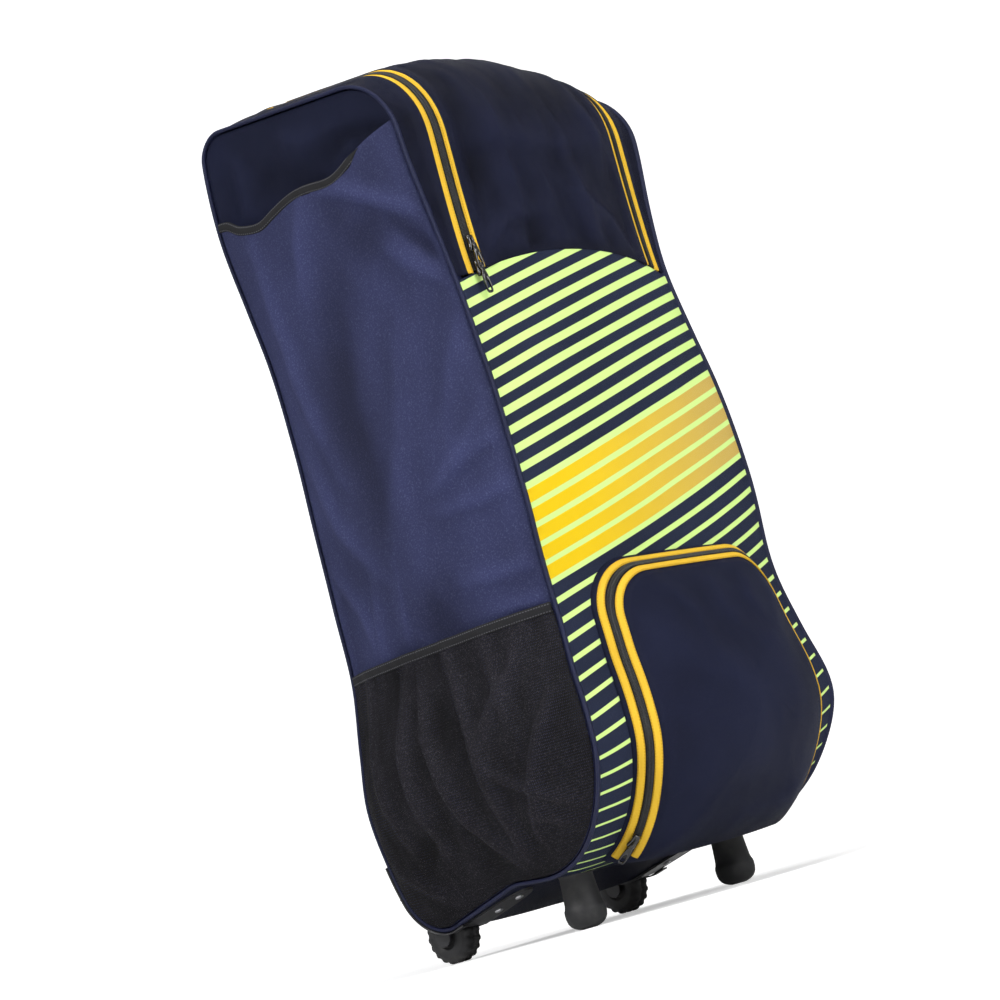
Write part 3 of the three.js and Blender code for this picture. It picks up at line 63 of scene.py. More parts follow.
# Main form
BAG_HEIGHT = 905
BAG_DEPTH = 306
BAG_WIDTH = 350
CORNERS = (
    # y, z and radius: rear bottom, rear top, front top, front bottom, crease of the base
    (0.503 * BAG_DEPTH, 25, 38),
    (0.497 * BAG_DEPTH, BAG_HEIGHT, 26),
    (-0.418 * BAG_DEPTH, BAG_HEIGHT - 48, 80),
    (-0.507 * BAG_DEPTH, 45, 112),
    (0.016 * BAG_DEPTH, 60, 60),
)
REAR_LINE = CORNERS[0][0]
SEAM_INSET = 3
SIDE_BULGE = 15
CROWN_TOP, CROWN_FRONT, CROWN_BACK, CROWN_BASE = 36, 18, 7, 5
CROWN_POWER = 2.4
SIDE_MIDDLE = (0, 0.45 * BAG_HEIGHT)
ARC_STEP = math.radians(4)
STRAIGHT_STEP = 9

# Half widths, and the swell of the front and back lines, at shares of the height
HALF_WIDTHS = (
    (0.0, 0.86), (0.06, 0.95), (0.11, 1.03), (0.185, 1.1), (0.25, 1.06), (0.33, 1.0), (0.42, 1.01),
    (0.52, 1.0), (0.62, 0.965), (0.71, 0.945), (0.78, 0.98), (0.87, 1.045), (0.94, 1.04), (1.0, 1.0),
)
FRONT_SWELL = (
    (0.05, 0.0), (0.12, 0.02), (0.2, 0.052), (0.27, 0.028), (0.35, 0.014), (0.45, 0.036),
    (0.56, 0.034), (0.64, 0.012), (0.72, -0.008), (0.8, -0.01), (0.9, 0.0),
)
BACK_SWELL = (
    (0.12, 0.0), (0.2, -0.008), (0.27, -0.02), (0.35, -0.036), (0.45, -0.048), (0.56, -0.045),
    (0.64, -0.03), (0.72, -0.01), (0.8, 0.0), (0.9, 0.0),
)

# Lines on the bag
HEM_HEIGHT = 638
HEM_ARCH = 25
BACK_SEAM_HEIGHT = 100
FRONT_SEAM_HEIGHT = 57
REAR_SEAM_REACH = 28
MAIN_ZIP_HALF = 137
MAIN_ZIP_REAR = 56
MAIN_ZIP_RADIUS = 46
ZIP_CHAIN = 10
ZIP_TAPE = 10
ZIP_LAY = ZIP_CHAIN / 2 + ZIP_TAPE
MOUTH_HEIGHT = 790
MOUTH_FRONT = -75
MOUTH_RISES = (
    (-0.6, 0.085), (-0.4, 0.06), (-0.25, 0.035), (-0.17, 0.0), (-0.09, -0.02), (0.02, -0.005),
    (0.11, 0.0), (0.2, -0.015), (0.29, -0.034), (0.38, -0.012), (0.45, 0.03), (0.6, 0.05),
)
MESH_HEIGHT = 298
SLEEVE_DEPTH = 24
MESH_DEPTH = 16

# Front pocket
POCKET_WIDTH = 272
POCKET_TOP = 338
POCKET_FOOT = 62
POCKET_RADIUS = 55
POCKET_FOOT_RADIUS = 9
POCKET_GUSSET = 23
POCKET_DEPTH = 42
POCKET_RIM_SHARE = 0.83
POCKET_ZIP_START = 4
POCKET_ZIP_CHAIN = 6
POCKET_ZIP_TAPE = 8

SLIDER_LENGTH = 17
SLIDER_SPACING = 27

# Running gear
WHEEL_RADIUS = 29
WHEEL_WIDTH = 25
WHEEL_TRACK = 270
AXLE_Y = REAR_LINE - 16
SHIFT = (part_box("wheel_left")[0].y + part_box("wheel_left")[1].y) / 2 / MM - AXLE_Y
FOOT_RADIUS = 21
FOOT_SPACING = 242
FOOT_FORWARD = 33
PLATE_THICKNESS = 2.4
RIVET_REACH = (86, 118)
GUARD_WIDTH = 8
GUARD_TOP = 112
GUARD_REACH = 60

# Straps
STRAP_WIDTH = 62
STRAP_THICKNESS = 10
STRAP_TOP = 800
STRAP_BOTTOM = 410
STRAP_SPREAD = (62, 92)
WEBBING_WIDTH = 25
WEBBING_TUCK = 12  # length of webbing hidden under the pad and under the tab
TAB_HEIGHT = 244
TAB_SIZE = 42
TAB_WIDTH = 31
TAIL_BOTTOM = 76

# Camera, as solved for a frame of 1000 by 1000
CAMERA_AZIMUTH = -48.28
CAMERA_ELEVATION = -8.48
CAMERA_ROLL = -15.74
CAMERA_TARGET = (-12, 26, 450)
CAMERA_DISTANCE = 2761
CAMERA_LENS = 94.68


def read_table(rows, at):
    """Value of a table at a place between its rows, on a smooth curve."""
    xs, ys = np.array(rows, float).T
    slopes = np.empty_like(ys)
    slopes[1:-1] = (ys[2:] - ys[:-2]) / (xs[2:] - xs[:-2])
    slopes[0] = (ys[1] - ys[0]) / (xs[1] - xs[0])
    slopes[-1] = (ys[-1] - ys[-2]) / (xs[-1] - xs[-2])
    at = np.clip(at, xs[0], xs[-1])
    i = np.clip(np.searchsorted(xs, at, side="right") - 1, 0, len(xs) - 2)
    span = xs[i + 1] - xs[i]
    t = (at - xs[i]) / span
    rise = 3 * t**2 - 2 * t**3
    leave = (t**3 - 2 * t**2 + t) * span * slopes[i]
    arrive = (t**3 - t**2) * span * slopes[i + 1]
    return (1 - rise) * ys[i] + rise * ys[i + 1] + leave + arrive


def smooth(low, high, value):
    t = np.clip((value - low) / (high - low), 0, 1)
    return t * t * (3 - 2 * t)


def unit(vectors):
    return vectors / np.maximum(np.linalg.norm(vectors, axis=-1, keepdims=True), 1e-9)


def half_width(z):
    return read_table(HALF_WIDTHS, z / BAG_HEIGHT) * (BAG_WIDTH / 2)


class Outline:
    """The side's outline: up the back, over the top, down the front and back along the base."""

    def __init__(self):
        points = self.divided(self.rounded())
        share = points[:, 1] / BAG_HEIGHT
        facing = points[:, 2] ** 2 * BAG_DEPTH
        points[:, 0] += np.where(
            points[:, 2] < 0,
            -read_table(FRONT_SWELL, share) * facing,
            read_table(BACK_SWELL, share) * facing,
        )
        line = points[:, :2]
        along = unit(np.roll(line, -1, axis=0) - np.roll(line, 1, axis=0))
        steps = np.linalg.norm(np.roll(line, -1, axis=0) - line, axis=1)
        self.length = steps.sum()
        self.s = np.concatenate([[0], np.cumsum(steps)])
        columns = np.column_stack([line, along[:, 1], -along[:, 0], half_width(line[:, 1])])
        self.columns = np.vstack([columns, columns[:1]])

    @staticmethod
    def rounded():
        points = []
        for i, (y, z, radius) in enumerate(CORNERS):
            here = np.array((y, z))
            before = unit(np.array(CORNERS[i - 1][:2]) - here)
            after = unit(np.array(CORNERS[(i + 1) % len(CORNERS)][:2]) - here)
            half = math.acos(np.clip(before @ after, -1, 1)) / 2
            side = math.copysign(1, before[0] * after[1] - before[1] * after[0])
            centre = here + unit(before + after) * radius / math.sin(half)
            start = before * radius / math.tan(half) + here - centre
            turn = (math.pi - 2 * half) * -side
            steps = math.ceil(abs(turn) / ARC_STEP)
            for angle in np.linspace(0, turn, steps + 1):
                c, s = math.cos(angle), math.sin(angle)
                spoke = np.array((start[0] * c - start[1] * s, start[0] * s + start[1] * c))
                points.append([*(centre + spoke), *(unit(spoke) * -side)])
        return np.array(points)

    @staticmethod
    def divided(points):
        parts = []
        for a, b in zip(points, np.roll(points, -1, axis=0)):
            steps = max(1, math.ceil(np.linalg.norm(b[:2] - a[:2]) / STRAIGHT_STEP))
            parts.append(a + (b - a) * (np.arange(steps) / steps)[:, None])
        return np.vstack(parts)

    def at(self, s):
        """y, z, outward y, outward z and half width at distances along the outline."""
        s = np.mod(s, self.length)
        return [np.interp(s, self.s, column) for column in self.columns.T]

    def find(self, start, test):
        """The first distance from a start whose point passes a test."""
        s = start + np.arange(0, self.length, 0.5)
        return s[np.argmax(test(*self.at(s)))]


OUTLINE = Outline()
BACK_SEAM = OUTLINE.find(0, lambda y, z, ny, nz, half: (ny > 0.5) & (z > BACK_SEAM_HEIGHT))
REAR_SEAM = OUTLINE.find(0, lambda y, z, ny, nz, half: (nz > 0.8) & (y < CORNERS[1][0] - REAR_SEAM_REACH))
ZIP_REAR = OUTLINE.find(0, lambda y, z, ny, nz, half: (nz > 0.8) & (y < CORNERS[1][0] - MAIN_ZIP_REAR))
HEM = OUTLINE.find(ZIP_REAR, lambda y, z, ny, nz, half: (ny < -0.5) & (z < HEM_HEIGHT))
FRONT_SEAM = OUTLINE.find(HEM, lambda y, z, ny, nz, half: z < FRONT_SEAM_HEIGHT)
BASE_REAR = OUTLINE.find(FRONT_SEAM, lambda y, z, ny, nz, half: (nz < 0) & (ny > 0.6))
FRONT_FOOT = OUTLINE.find(HEM, lambda y, z, ny, nz, half: (nz < -0.6))


def front_station(height):
    return OUTLINE.find(HEM, lambda y, z, ny, nz, half: z < height)


def front_station_below_top(height):
    return OUTLINE.find(ZIP_REAR, lambda y, z, ny, nz, half: (ny < -0.3) & (z < height))


def back_station(height):
    return OUTLINE.find(0, lambda y, z, ny, nz, half: (ny > 0.5) & (z > height))


def base_station(depth):
    return OUTLINE.find(FRONT_SEAM, lambda y, z, ny, nz, half: (nz < -0.3) & (y > depth))


def edge_of(s):
    return OUTLINE.at(s)[4] - SEAM_INSET


def strip(s, x, lift=0):
    """Places on the band of cloth that runs round the bag, at stations s and distances x across."""
    s, x = np.broadcast_arrays(np.asarray(s, float), np.asarray(x, float))
    y, z, ny, nz, half = OUTLINE.at(s)
    across = np.minimum(np.abs(x) / (half - SEAM_INSET), 1)
    upright = np.where(nz > 0, CROWN_TOP, CROWN_BASE)
    level = np.where(ny > 0, CROWN_BACK, CROWN_FRONT)
    out = (upright * nz**2 + level * ny**2) * (1 - across**CROWN_POWER) + lift
    return np.stack([x, y + ny * out, z + nz * out], axis=-1)


def strip_normals(s, x):
    step = 2.0
    along = strip(np.add(s, step), x) - strip(np.subtract(s, step), x)
    across = strip(s, np.add(x, step)) - strip(s, np.subtract(x, step))
    return unit(np.cross(along, across))


def noise_at(places, size, seed=0.0, stretch=(1, 1, 1)):
    """Smooth noise between -1 and 1 at places, with humps about one size long."""
    scaled = places.reshape(-1, 3) / (np.array(stretch) * size) + seed
    values = [noise.noise(Vector(place)) for place in scaled]
    return np.array(values).reshape(places.shape[:-1])


def creases(table, a, b):
    """Height of a table of creases at places (a, b). Each row has its points, width and height; a
    second width, if there is one, is that of the side to the right of the crease's direction."""
    total = np.zeros(np.broadcast(a, b).shape)
    for points, widths, height in table:
        points = np.array(points, float)
        left, right = widths if isinstance(widths, tuple) else (widths, widths)
        lengths = np.linalg.norm(np.diff(points, axis=0), axis=1)
        best = np.full(total.shape, 1e9)
        place = np.zeros(total.shape)
        side = np.zeros(total.shape)
        done = 0
        for start, end, length in zip(points[:-1], points[1:], lengths):
            along = (end - start) / length
            da, db = a - start[0], b - start[1]
            t = np.clip((da * along[0] + db * along[1]) / length, 0, 1)
            ra, rb = da - t * length * along[0], db - t * length * along[1]
            distance = np.hypot(ra, rb)
            nearer = distance < best
            best = np.where(nearer, distance, best)
            place = np.where(nearer, (done + t * length) / lengths.sum(), place)
            side = np.where(nearer, along[0] * db - along[1] * da, side)
            done += length
        width = np.where(side > 0, left, right)
        total += height * np.exp(-((best / width) ** 2)) * np.sin(np.pi * (0.08 + 0.84 * place)) ** 0.7
    return total


# Meshes

def to_frame(places):
    return (np.asarray(places, float) + (0, SHIFT, 0)) * MM


def make_object(name, places, faces, lay=None, smooth_faces=True):
    """A mesh object from places in the bag's millimetres. Its lay, for the weave, has the distances
    along and across the cloth and the height of its folds, in metres."""
    mesh = bpy.data.meshes.new(name)
    mesh.from_pydata(to_frame(places).tolist(), [], [list(map(int, face)) for face in faces])
    if lay is not None:
        flat = np.zeros((len(places), 3))
        flat[:, : lay.shape[-1]] = lay.reshape(-1, lay.shape[-1]) * MM
        attribute = mesh.attributes.new("lay", "FLOAT_VECTOR", "POINT")
        attribute.data.foreach_set("vector", flat.ravel())
    mesh.polygons.foreach_set("use_smooth", [smooth_faces] * len(mesh.polygons))
    made = bpy.data.objects.new(name, mesh)
    bpy.context.collection.objects.link(made)
    return made


def apply_modifiers(made):
    depsgraph = bpy.context.evaluated_depsgraph_get()
    mesh = bpy.data.meshes.new_from_object(made.evaluated_get(depsgraph))
    made.modifiers.clear()
    made.data = mesh
    return made


def grid_faces(rows, columns, wrap=False, flip=False, first=0):
    faces = []
    for i in range(rows - 1):
        for j in range(columns if wrap else columns - 1):
            k = (j + 1) % columns
            face = [i * columns + j, (i + 1) * columns + j, (i + 1) * columns + k, i * columns + k]
            faces.append([first + corner for corner in (reversed(face) if flip else face)])
    return faces


def cloth(name, places, thickness, lay, around=(0, 0, 450), wrap=False):
    """A panel of cloth from a grid of places on its outer face, as a closed skin."""
    rows, columns = places.shape[:2]
    along = np.gradient(places, axis=0)
    across = np.gradient(places, axis=1)
    outward = places - np.array(around, float)
    flip = (np.cross(along, across) * outward).sum() < 0
    faces = grid_faces(rows, columns, wrap, flip)
    made = make_object(name, places.reshape(-1, 3), faces, lay)
    skin = made.modifiers.new("thickness", "SOLIDIFY")
    skin.thickness = thickness * MM
    skin.offset = -1
    return apply_modifiers(made)


def sweep(name, places, outs, section, closed=False, scales=None):
    """A section of (aside, out) points swept along a line of places."""
    count = len(places)
    if closed:
        along = np.roll(places, -1, axis=0) - np.roll(places, 1, axis=0)
    else:
        along = np.gradient(places, axis=0)
    along = unit(along)
    out = unit(outs - (outs * along).sum(-1, keepdims=True) * along)
    aside = np.cross(along, out)
    section = np.array(section, float)
    sections = section if section.ndim == 3 else np.repeat(section[None], count, axis=0)
    if scales is not None:
        sections = sections * scales[:, None, None]
    points = places[:, None] + aside[:, None] * sections[..., :1] + out[:, None] * sections[..., 1:]
    reach = np.concatenate([[0], np.cumsum(np.linalg.norm(np.diff(places, axis=0), axis=1))])
    lay = np.stack(np.broadcast_arrays(sections[..., 0], reach[:, None]), axis=-1)
    section = sections[0]
    size = len(section)
    following = np.roll(section, -1, axis=0)
    flip = (following[:, 1] * section[:, 0] - following[:, 0] * section[:, 1]).sum() > 0
    ring = points if not closed else np.concatenate([points, points[:1]])
    faces = grid_faces(len(ring), size, True, flip)
    if closed:
        faces = [[corner % (count * size) for corner in face] for face in faces]
    else:
        start = list(range(size))
        end = [(count - 1) * size + j for j in range(size)]
        faces += [start[::-1] if not flip else start, end if not flip else end[::-1]]
    return make_object(name, points.reshape(-1, 3), faces, lay)


def flat_section(width, low, high, bulge=0.0, steps=4):
    """A ribbon's section, with rounded edges and a crowned top."""
    thickness = high - low
    xs = np.linspace(-width / 2, width / 2, steps + 1)
    top = [(x, high + bulge * (1 - (2 * x / width) ** 2)) for x in xs]
    top[0] = (xs[0] + thickness * 0.3, high)
    top[-1] = (xs[-1] - thickness * 0.3, high)
    edge = (low + high) / 2
    return [(-width / 2, edge), *top, (width / 2, edge), (xs[-1] - thickness * 0.3, low), (xs[0] + thickness * 0.3, low)]


def round_section(radius, sides=10):
    angles = np.arange(sides) * 2 * math.pi / sides
    return [(radius * math.cos(a), radius * math.sin(a)) for a in angles]


def join(name, parts):
    """One object from several."""
    with bpy.context.temp_override(active_object=parts[0], selected_editable_objects=parts):
        bpy.ops.object.join()
    parts[0].name = name
    parts[0].data.name = name
    return parts[0]


def dress(made, material, nodes, body="bag"):
    """Gives a piece its material and body, and hides the CAD nodes that it stands for."""
    if material is not None:
        made.data.materials.clear()
        made.data.materials.append(material)
    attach(made, body)
    if nodes:
        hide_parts(*nodes)
    return made


# Materials

def wire(tree, kind, values=None, **settings):
    """A node with its settings, and its sockets set to values or linked to other sockets."""
    made = tree.nodes.new(kind)
    for key, value in settings.items():
        setattr(made, key, value)
    for key, value in (values or {}).items():
        if isinstance(value, bpy.types.NodeSocket):
            tree.links.new(value, made.inputs[key])
        else:
            made.inputs[key].default_value = value
    return made


def calc(tree, operation, a, b=0.0, c=0.0, clamp=False):
    return wire(tree, "ShaderNodeMath", {0: a, 1: b, 2: c}, operation=operation, use_clamp=clamp).outputs[0]


def blend_colours(tree, factor, a, b, mode="MIX"):
    made = wire(tree, "ShaderNodeMix", {0: factor, 6: a, 7: b}, data_type="RGBA", blend_type=mode)
    return made.outputs[2]


def ramp(tree, value, low, high, to_low=0.0, to_high=1.0):
    values = {0: value, 1: low, 2: high, 3: to_low, 4: to_high}
    return wire(tree, "ShaderNodeMapRange", values, interpolation_type="SMOOTHSTEP").outputs[0]


def make_group(name, inputs, outputs):
    """An empty node group, with its entry and exit nodes."""
    tree = bpy.data.node_groups.new(name, "ShaderNodeTree")
    for label, kind, value in inputs:
        socket = tree.interface.new_socket(label, in_out="INPUT", socket_type=f"NodeSocket{kind}")
        if value is not None:
            socket.default_value = value
    for label, kind in outputs:
        tree.interface.new_socket(label, in_out="OUTPUT", socket_type=f"NodeSocket{kind}")
    return tree, tree.nodes.new("NodeGroupInput"), tree.nodes.new("NodeGroupOutput")


def weave_group():
    """Threads over and under, with flecks, broad mottling, and painted shade in the grooves of folds with painted
    light on their ridges.
    """
    tree, entry, leave = make_group(
        "Woven Cloth",
        [("Lay", "Vector", None), ("Place", "Vector", None), ("Thread", "Float", 0.0009),
         ("Cloth", "Color", (0.05, 0.05, 0.1, 1)), ("Fleck", "Color", (0.2, 0.2, 0.3, 1)),
         ("Fleck Share", "Float", 0.3), ("Mottle", "Float", 0.15), ("Fold Shade", "Float", 0.4)],
        [("Colour", "Color"), ("Height", "Float"), ("Roughness", "Float")],
    )
    ins = entry.outputs
    turns = calc(tree, "DIVIDE", 2 * math.pi, ins["Thread"])
    split = wire(tree, "ShaderNodeSeparateXYZ", {0: ins["Lay"]})
    warp = calc(tree, "SINE", calc(tree, "MULTIPLY", split.outputs[0], turns))
    weft = calc(tree, "SINE", calc(tree, "MULTIPLY", split.outputs[1], turns))
    weave = calc(tree, "MULTIPLY", warp, weft)
    fleck = wire(tree, "ShaderNodeTexNoise", {"Vector": ins["Place"], "Scale": 620.0, "Detail": 3.0})
    cloudy = wire(tree, "ShaderNodeTexNoise", {"Vector": ins["Place"], "Scale": 9.0, "Detail": 4.0})
    mask = ramp(tree, fleck.outputs[0], 0.48, 0.75)
    mask = calc(tree, "MULTIPLY", mask, calc(tree, "MULTIPLY_ADD", weave, 0.35, 0.65))
    mask = calc(tree, "MULTIPLY", mask, ins["Fleck Share"])
    flecked = blend_colours(tree, mask, ins["Cloth"], ins["Fleck"])
    shade = ramp(tree, cloudy.outputs[0], 0.3, 0.7, -1.0, 1.0)
    shade = calc(tree, "MULTIPLY_ADD", shade, ins["Mottle"], 1.0)
    # Painted shade and painted light: the lay's fold height darkens the colour in the grooves of folds and lightens it
    # on their ridges.
    fold = ramp(tree, split.outputs[2], -0.006, 0.006, -1.0, 1.0)
    shade = calc(tree, "MULTIPLY_ADD", fold, ins["Fold Shade"], shade)
    grey = wire(tree, "ShaderNodeCombineColor", {0: shade, 1: shade, 2: shade}).outputs[0]
    colour = blend_colours(tree, 1.0, flecked, grey, "MULTIPLY")
    tree.links.new(colour, leave.inputs["Colour"])
    height = calc(tree, "MULTIPLY_ADD", fleck.outputs[0], 0.8, calc(tree, "MULTIPLY", weave, 0.5))
    tree.links.new(height, leave.inputs["Height"])
    rough = calc(tree, "MULTIPLY_ADD", cloudy.outputs[0], 0.14, -0.07)
    tree.links.new(rough, leave.inputs["Roughness"])
    return tree


def crumple_group():
    """Small creases that catch the light on thin, shiny cloth."""
    tree, entry, leave = make_group(
        "Crumpled Cloth",
        [("Place", "Vector", None), ("Size", "Float", 0.03), ("Sharpness", "Float", 0.5)],
        [("Height", "Float")],
    )
    ins = entry.outputs
    scale = calc(tree, "DIVIDE", 1.0, ins["Size"])
    bend = wire(tree, "ShaderNodeTexNoise", {"Vector": ins["Place"], "Scale": scale, "Detail": 2.0})
    warped = wire(
        tree, "ShaderNodeVectorMath",
        {0: bend.outputs["Color"], 1: (0.06, 0.06, 0.06), 2: ins["Place"]}, operation="MULTIPLY_ADD",
    )
    folds = wire(
        tree, "ShaderNodeTexVoronoi", {"Vector": warped.outputs[0], "Scale": scale},
        feature="SMOOTH_F1",
    )
    soft = wire(tree, "ShaderNodeTexNoise", {"Vector": ins["Place"], "Scale": scale, "Detail": 1.0})
    height = wire(
        tree, "ShaderNodeMix",
        {0: ins["Sharpness"], 2: soft.outputs[0], 3: folds.outputs["Distance"]}, data_type="FLOAT",
    )
    tree.links.new(height.outputs[0], leave.inputs["Height"])
    return tree


def print_group():
    """Slanted bright stripes that thin out downwards, with a block of a second colour, and a share across the cloth by
    which the block is painted washed-out towards its far end as a painted reflection.
    """
    tree, entry, leave = make_group(
        "Slanted Stripes",
        [("Lay", "Vector", None), ("Pitch", "Float", 0.019), ("Slope", "Float", 0.305),
         ("Block Top", "Float", 0.471), ("Block Bars", "Float", 5.0)],
        [("Stripe", "Float"), ("Block", "Float"), ("Fade", "Float")],
    )
    ins = entry.outputs
    split = wire(tree, "ShaderNodeSeparateXYZ", {0: ins["Lay"]})
    tilted = calc(tree, "MULTIPLY_ADD", split.outputs[0], calc(tree, "MULTIPLY", ins["Slope"], -1.0), split.outputs[1])
    rows = calc(tree, "DIVIDE", calc(tree, "SUBTRACT", tilted, ins["Block Top"]), ins["Pitch"])
    whole = calc(tree, "ROUND", rows)
    off = calc(tree, "ABSOLUTE", calc(tree, "SUBTRACT", rows, whole))
    thick = wire(
        tree, "ShaderNodeMapRange", {0: rows, 1: -18.0, 2: 4.0, 3: 0.075, 4: 0.225},
        interpolation_type="LINEAR",
    ).outputs[0]
    inside_block = calc(
        tree, "MULTIPLY",
        calc(tree, "LESS_THAN", rows, 0.0),
        calc(tree, "GREATER_THAN", rows, calc(tree, "MULTIPLY", ins["Block Bars"], -1.0)),
    )
    thick = calc(tree, "MULTIPLY", thick, calc(tree, "MULTIPLY_ADD", inside_block, -0.18, 1.0))
    edge = calc(tree, "SUBTRACT", thick, off)
    stripe = ramp(tree, edge, -0.012, 0.012)
    tree.links.new(stripe, leave.inputs["Stripe"])
    tree.links.new(inside_block, leave.inputs["Block"])
    # Painted reflection: a share that rises across the cloth, by which the block fades to a washed-out colour at its
    # far end.
    fade = ramp(tree, split.outputs[0], -0.15, 0.19)
    tree.links.new(fade, leave.inputs["Fade"])
    return tree


def net_group():
    """Round holes in staggered rows, as a share that is thread."""
    tree, entry, leave = make_group(
        "Knitted Net",
        [("Lay", "Vector", None), ("Pitch", "Float", 0.0026), ("Thread Share", "Float", 0.5)],
        [("Thread", "Float"), ("Height", "Float")],
    )
    ins = entry.outputs
    turns = calc(tree, "DIVIDE", 2 * math.pi, ins["Pitch"])
    split = wire(tree, "ShaderNodeSeparateXYZ", {0: ins["Lay"]})
    u = calc(tree, "MULTIPLY", split.outputs[0], turns)
    v = calc(tree, "MULTIPLY", split.outputs[1], calc(tree, "MULTIPLY", turns, 0.62))
    humps = calc(tree, "MULTIPLY", calc(tree, "COSINE", u), calc(tree, "COSINE", v))
    level = ins["Thread Share"]
    gap = ramp(tree, calc(tree, "ABSOLUTE", humps), calc(tree, "SUBTRACT", level, 0.1), calc(tree, "ADD", level, 0.1))
    tree.links.new(calc(tree, "SUBTRACT", 1.0, gap), leave.inputs["Thread"])
    tree.links.new(calc(tree, "MULTIPLY", humps, humps), leave.inputs["Height"])
    return tree


def rib_group():
    """Ribs across a ribbon, with a line of stitches near each edge."""
    tree, entry, leave = make_group(
        "Ribbed Tape",
        [("Lay", "Vector", None), ("Rib", "Float", 0.0011), ("Stitch Line", "Float", 0.0035),
         ("Stitch", "Float", 0.003)],
        [("Height", "Float"), ("Stitches", "Float")],
    )
    ins = entry.outputs
    split = wire(tree, "ShaderNodeSeparateXYZ", {0: ins["Lay"]})
    turns = calc(tree, "DIVIDE", 2 * math.pi, ins["Rib"])
    ribs = calc(tree, "SINE", calc(tree, "MULTIPLY", split.outputs[1], turns))
    beside = calc(tree, "ABSOLUTE", calc(tree, "SUBTRACT", calc(tree, "ABSOLUTE", split.outputs[0]), ins["Stitch Line"]))
    on_line = ramp(tree, beside, 0.0007, 0.0003)
    beats = calc(tree, "SINE", calc(tree, "DIVIDE", calc(tree, "MULTIPLY", split.outputs[1], 2 * math.pi), ins["Stitch"]))
    stitches = calc(tree, "MULTIPLY", on_line, ramp(tree, beats, -0.6, -0.2))
    tree.links.new(stitches, leave.inputs["Stitches"])
    height = calc(tree, "MULTIPLY_ADD", stitches, 1.5, calc(tree, "MULTIPLY", ribs, 0.5))
    tree.links.new(height, leave.inputs["Height"])
    return tree


def moulded_group():
    """Fine moulded grain with rubbed, paler patches and dust."""
    tree, entry, leave = make_group(
        "Moulded Grain",
        [("Place", "Vector", None), ("Base", "Color", (0.02, 0.02, 0.02, 1)),
         ("Rubbed", "Color", (0.08, 0.08, 0.08, 1)), ("Wear", "Float", 0.3)],
        [("Colour", "Color"), ("Height", "Float"), ("Roughness", "Float")],
    )
    ins = entry.outputs
    grain = wire(tree, "ShaderNodeTexNoise", {"Vector": ins["Place"], "Scale": 900.0, "Detail": 2.0})
    patches = wire(tree, "ShaderNodeTexNoise", {"Vector": ins["Place"], "Scale": 45.0, "Detail": 5.0})
    mask = calc(tree, "MULTIPLY", ramp(tree, patches.outputs[0], 0.48, 0.72), ins["Wear"])
    tree.links.new(blend_colours(tree, mask, ins["Base"], ins["Rubbed"]), leave.inputs["Colour"])
    tree.links.new(grain.outputs[0], leave.inputs["Height"])
    tree.links.new(calc(tree, "MULTIPLY_ADD", mask, 0.3, 0.0), leave.inputs["Roughness"])
    return tree


GROUPS = {}


def use_group(tree, name, values):
    makers = {
        "weave": weave_group, "crumple": crumple_group, "print": print_group, "net": net_group,
        "rib": rib_group, "moulded": moulded_group,
    }
    if name not in GROUPS:
        GROUPS[name] = makers[name]()
    made = tree.nodes.new("ShaderNodeGroup")
    made.node_tree = GROUPS[name]
    for key, value in values.items():
        if isinstance(value, bpy.types.NodeSocket):
            tree.links.new(value, made.inputs[key])
        else:
            made.inputs[key].default_value = value
    return made.outputs


def start_material(name):
    """A node material with its tree, shader and the places that its groups read."""
    material = bpy.data.materials.new(name)
    material.use_nodes = True
    tree = material.node_tree
    shader = tree.nodes["Principled BSDF"]
    place = tree.nodes.new("ShaderNodeTexCoord").outputs["Object"]
    lay = wire(tree, "ShaderNodeAttribute", attribute_name="lay").outputs["Vector"]
    return material, tree, shader, place, lay


def set_shader(shader, **values):
    for key, value in values.items():
        shader.inputs[key.replace("_", " ")].default_value = value


def add_bump(tree, shader, height, depth, strength=1.0, before=None):
    values = {"Height": height, "Distance": depth, "Strength": strength}
    if before is not None:
        values["Normal"] = before
    made = wire(tree, "ShaderNodeBump", values)
    tree.links.new(made.outputs[0], shader.inputs["Normal"])
    return made.outputs[0]


def rgba(colour):
    return (*tuple(colour)[:3], 1.0)


def cloth_material(name, colour, fleck, share, mottle, roughness, gloss, crumple, thread=0.0009,
                   fold_shade=0.4):
    """Woven cloth; crumple is the size and depth of its small creases, in metres."""
    material, tree, shader, place, lay = start_material(name)
    values = {
        "Lay": lay, "Place": place, "Thread": thread, "Cloth": rgba(colour), "Fleck": rgba(fleck),
        "Fleck Share": share, "Mottle": mottle, "Fold Shade": fold_shade,
    }
    woven = use_group(tree, "weave", values)
    tree.links.new(woven["Colour"], shader.inputs["Base Color"])
    tree.links.new(calc(tree, "ADD", woven["Roughness"], roughness), shader.inputs["Roughness"])
    set_shader(shader, Specular_IOR_Level=gloss, Sheen_Weight=0.015, Sheen_Tint=rgba(fleck))
    size, depth = crumple
    small = use_group(tree, "crumple", {"Place": place, "Size": size, "Sharpness": 0.35})
    bumped = add_bump(tree, shader, small["Height"], depth)
    add_bump(tree, shader, woven["Height"], 0.00022, before=bumped)
    return material


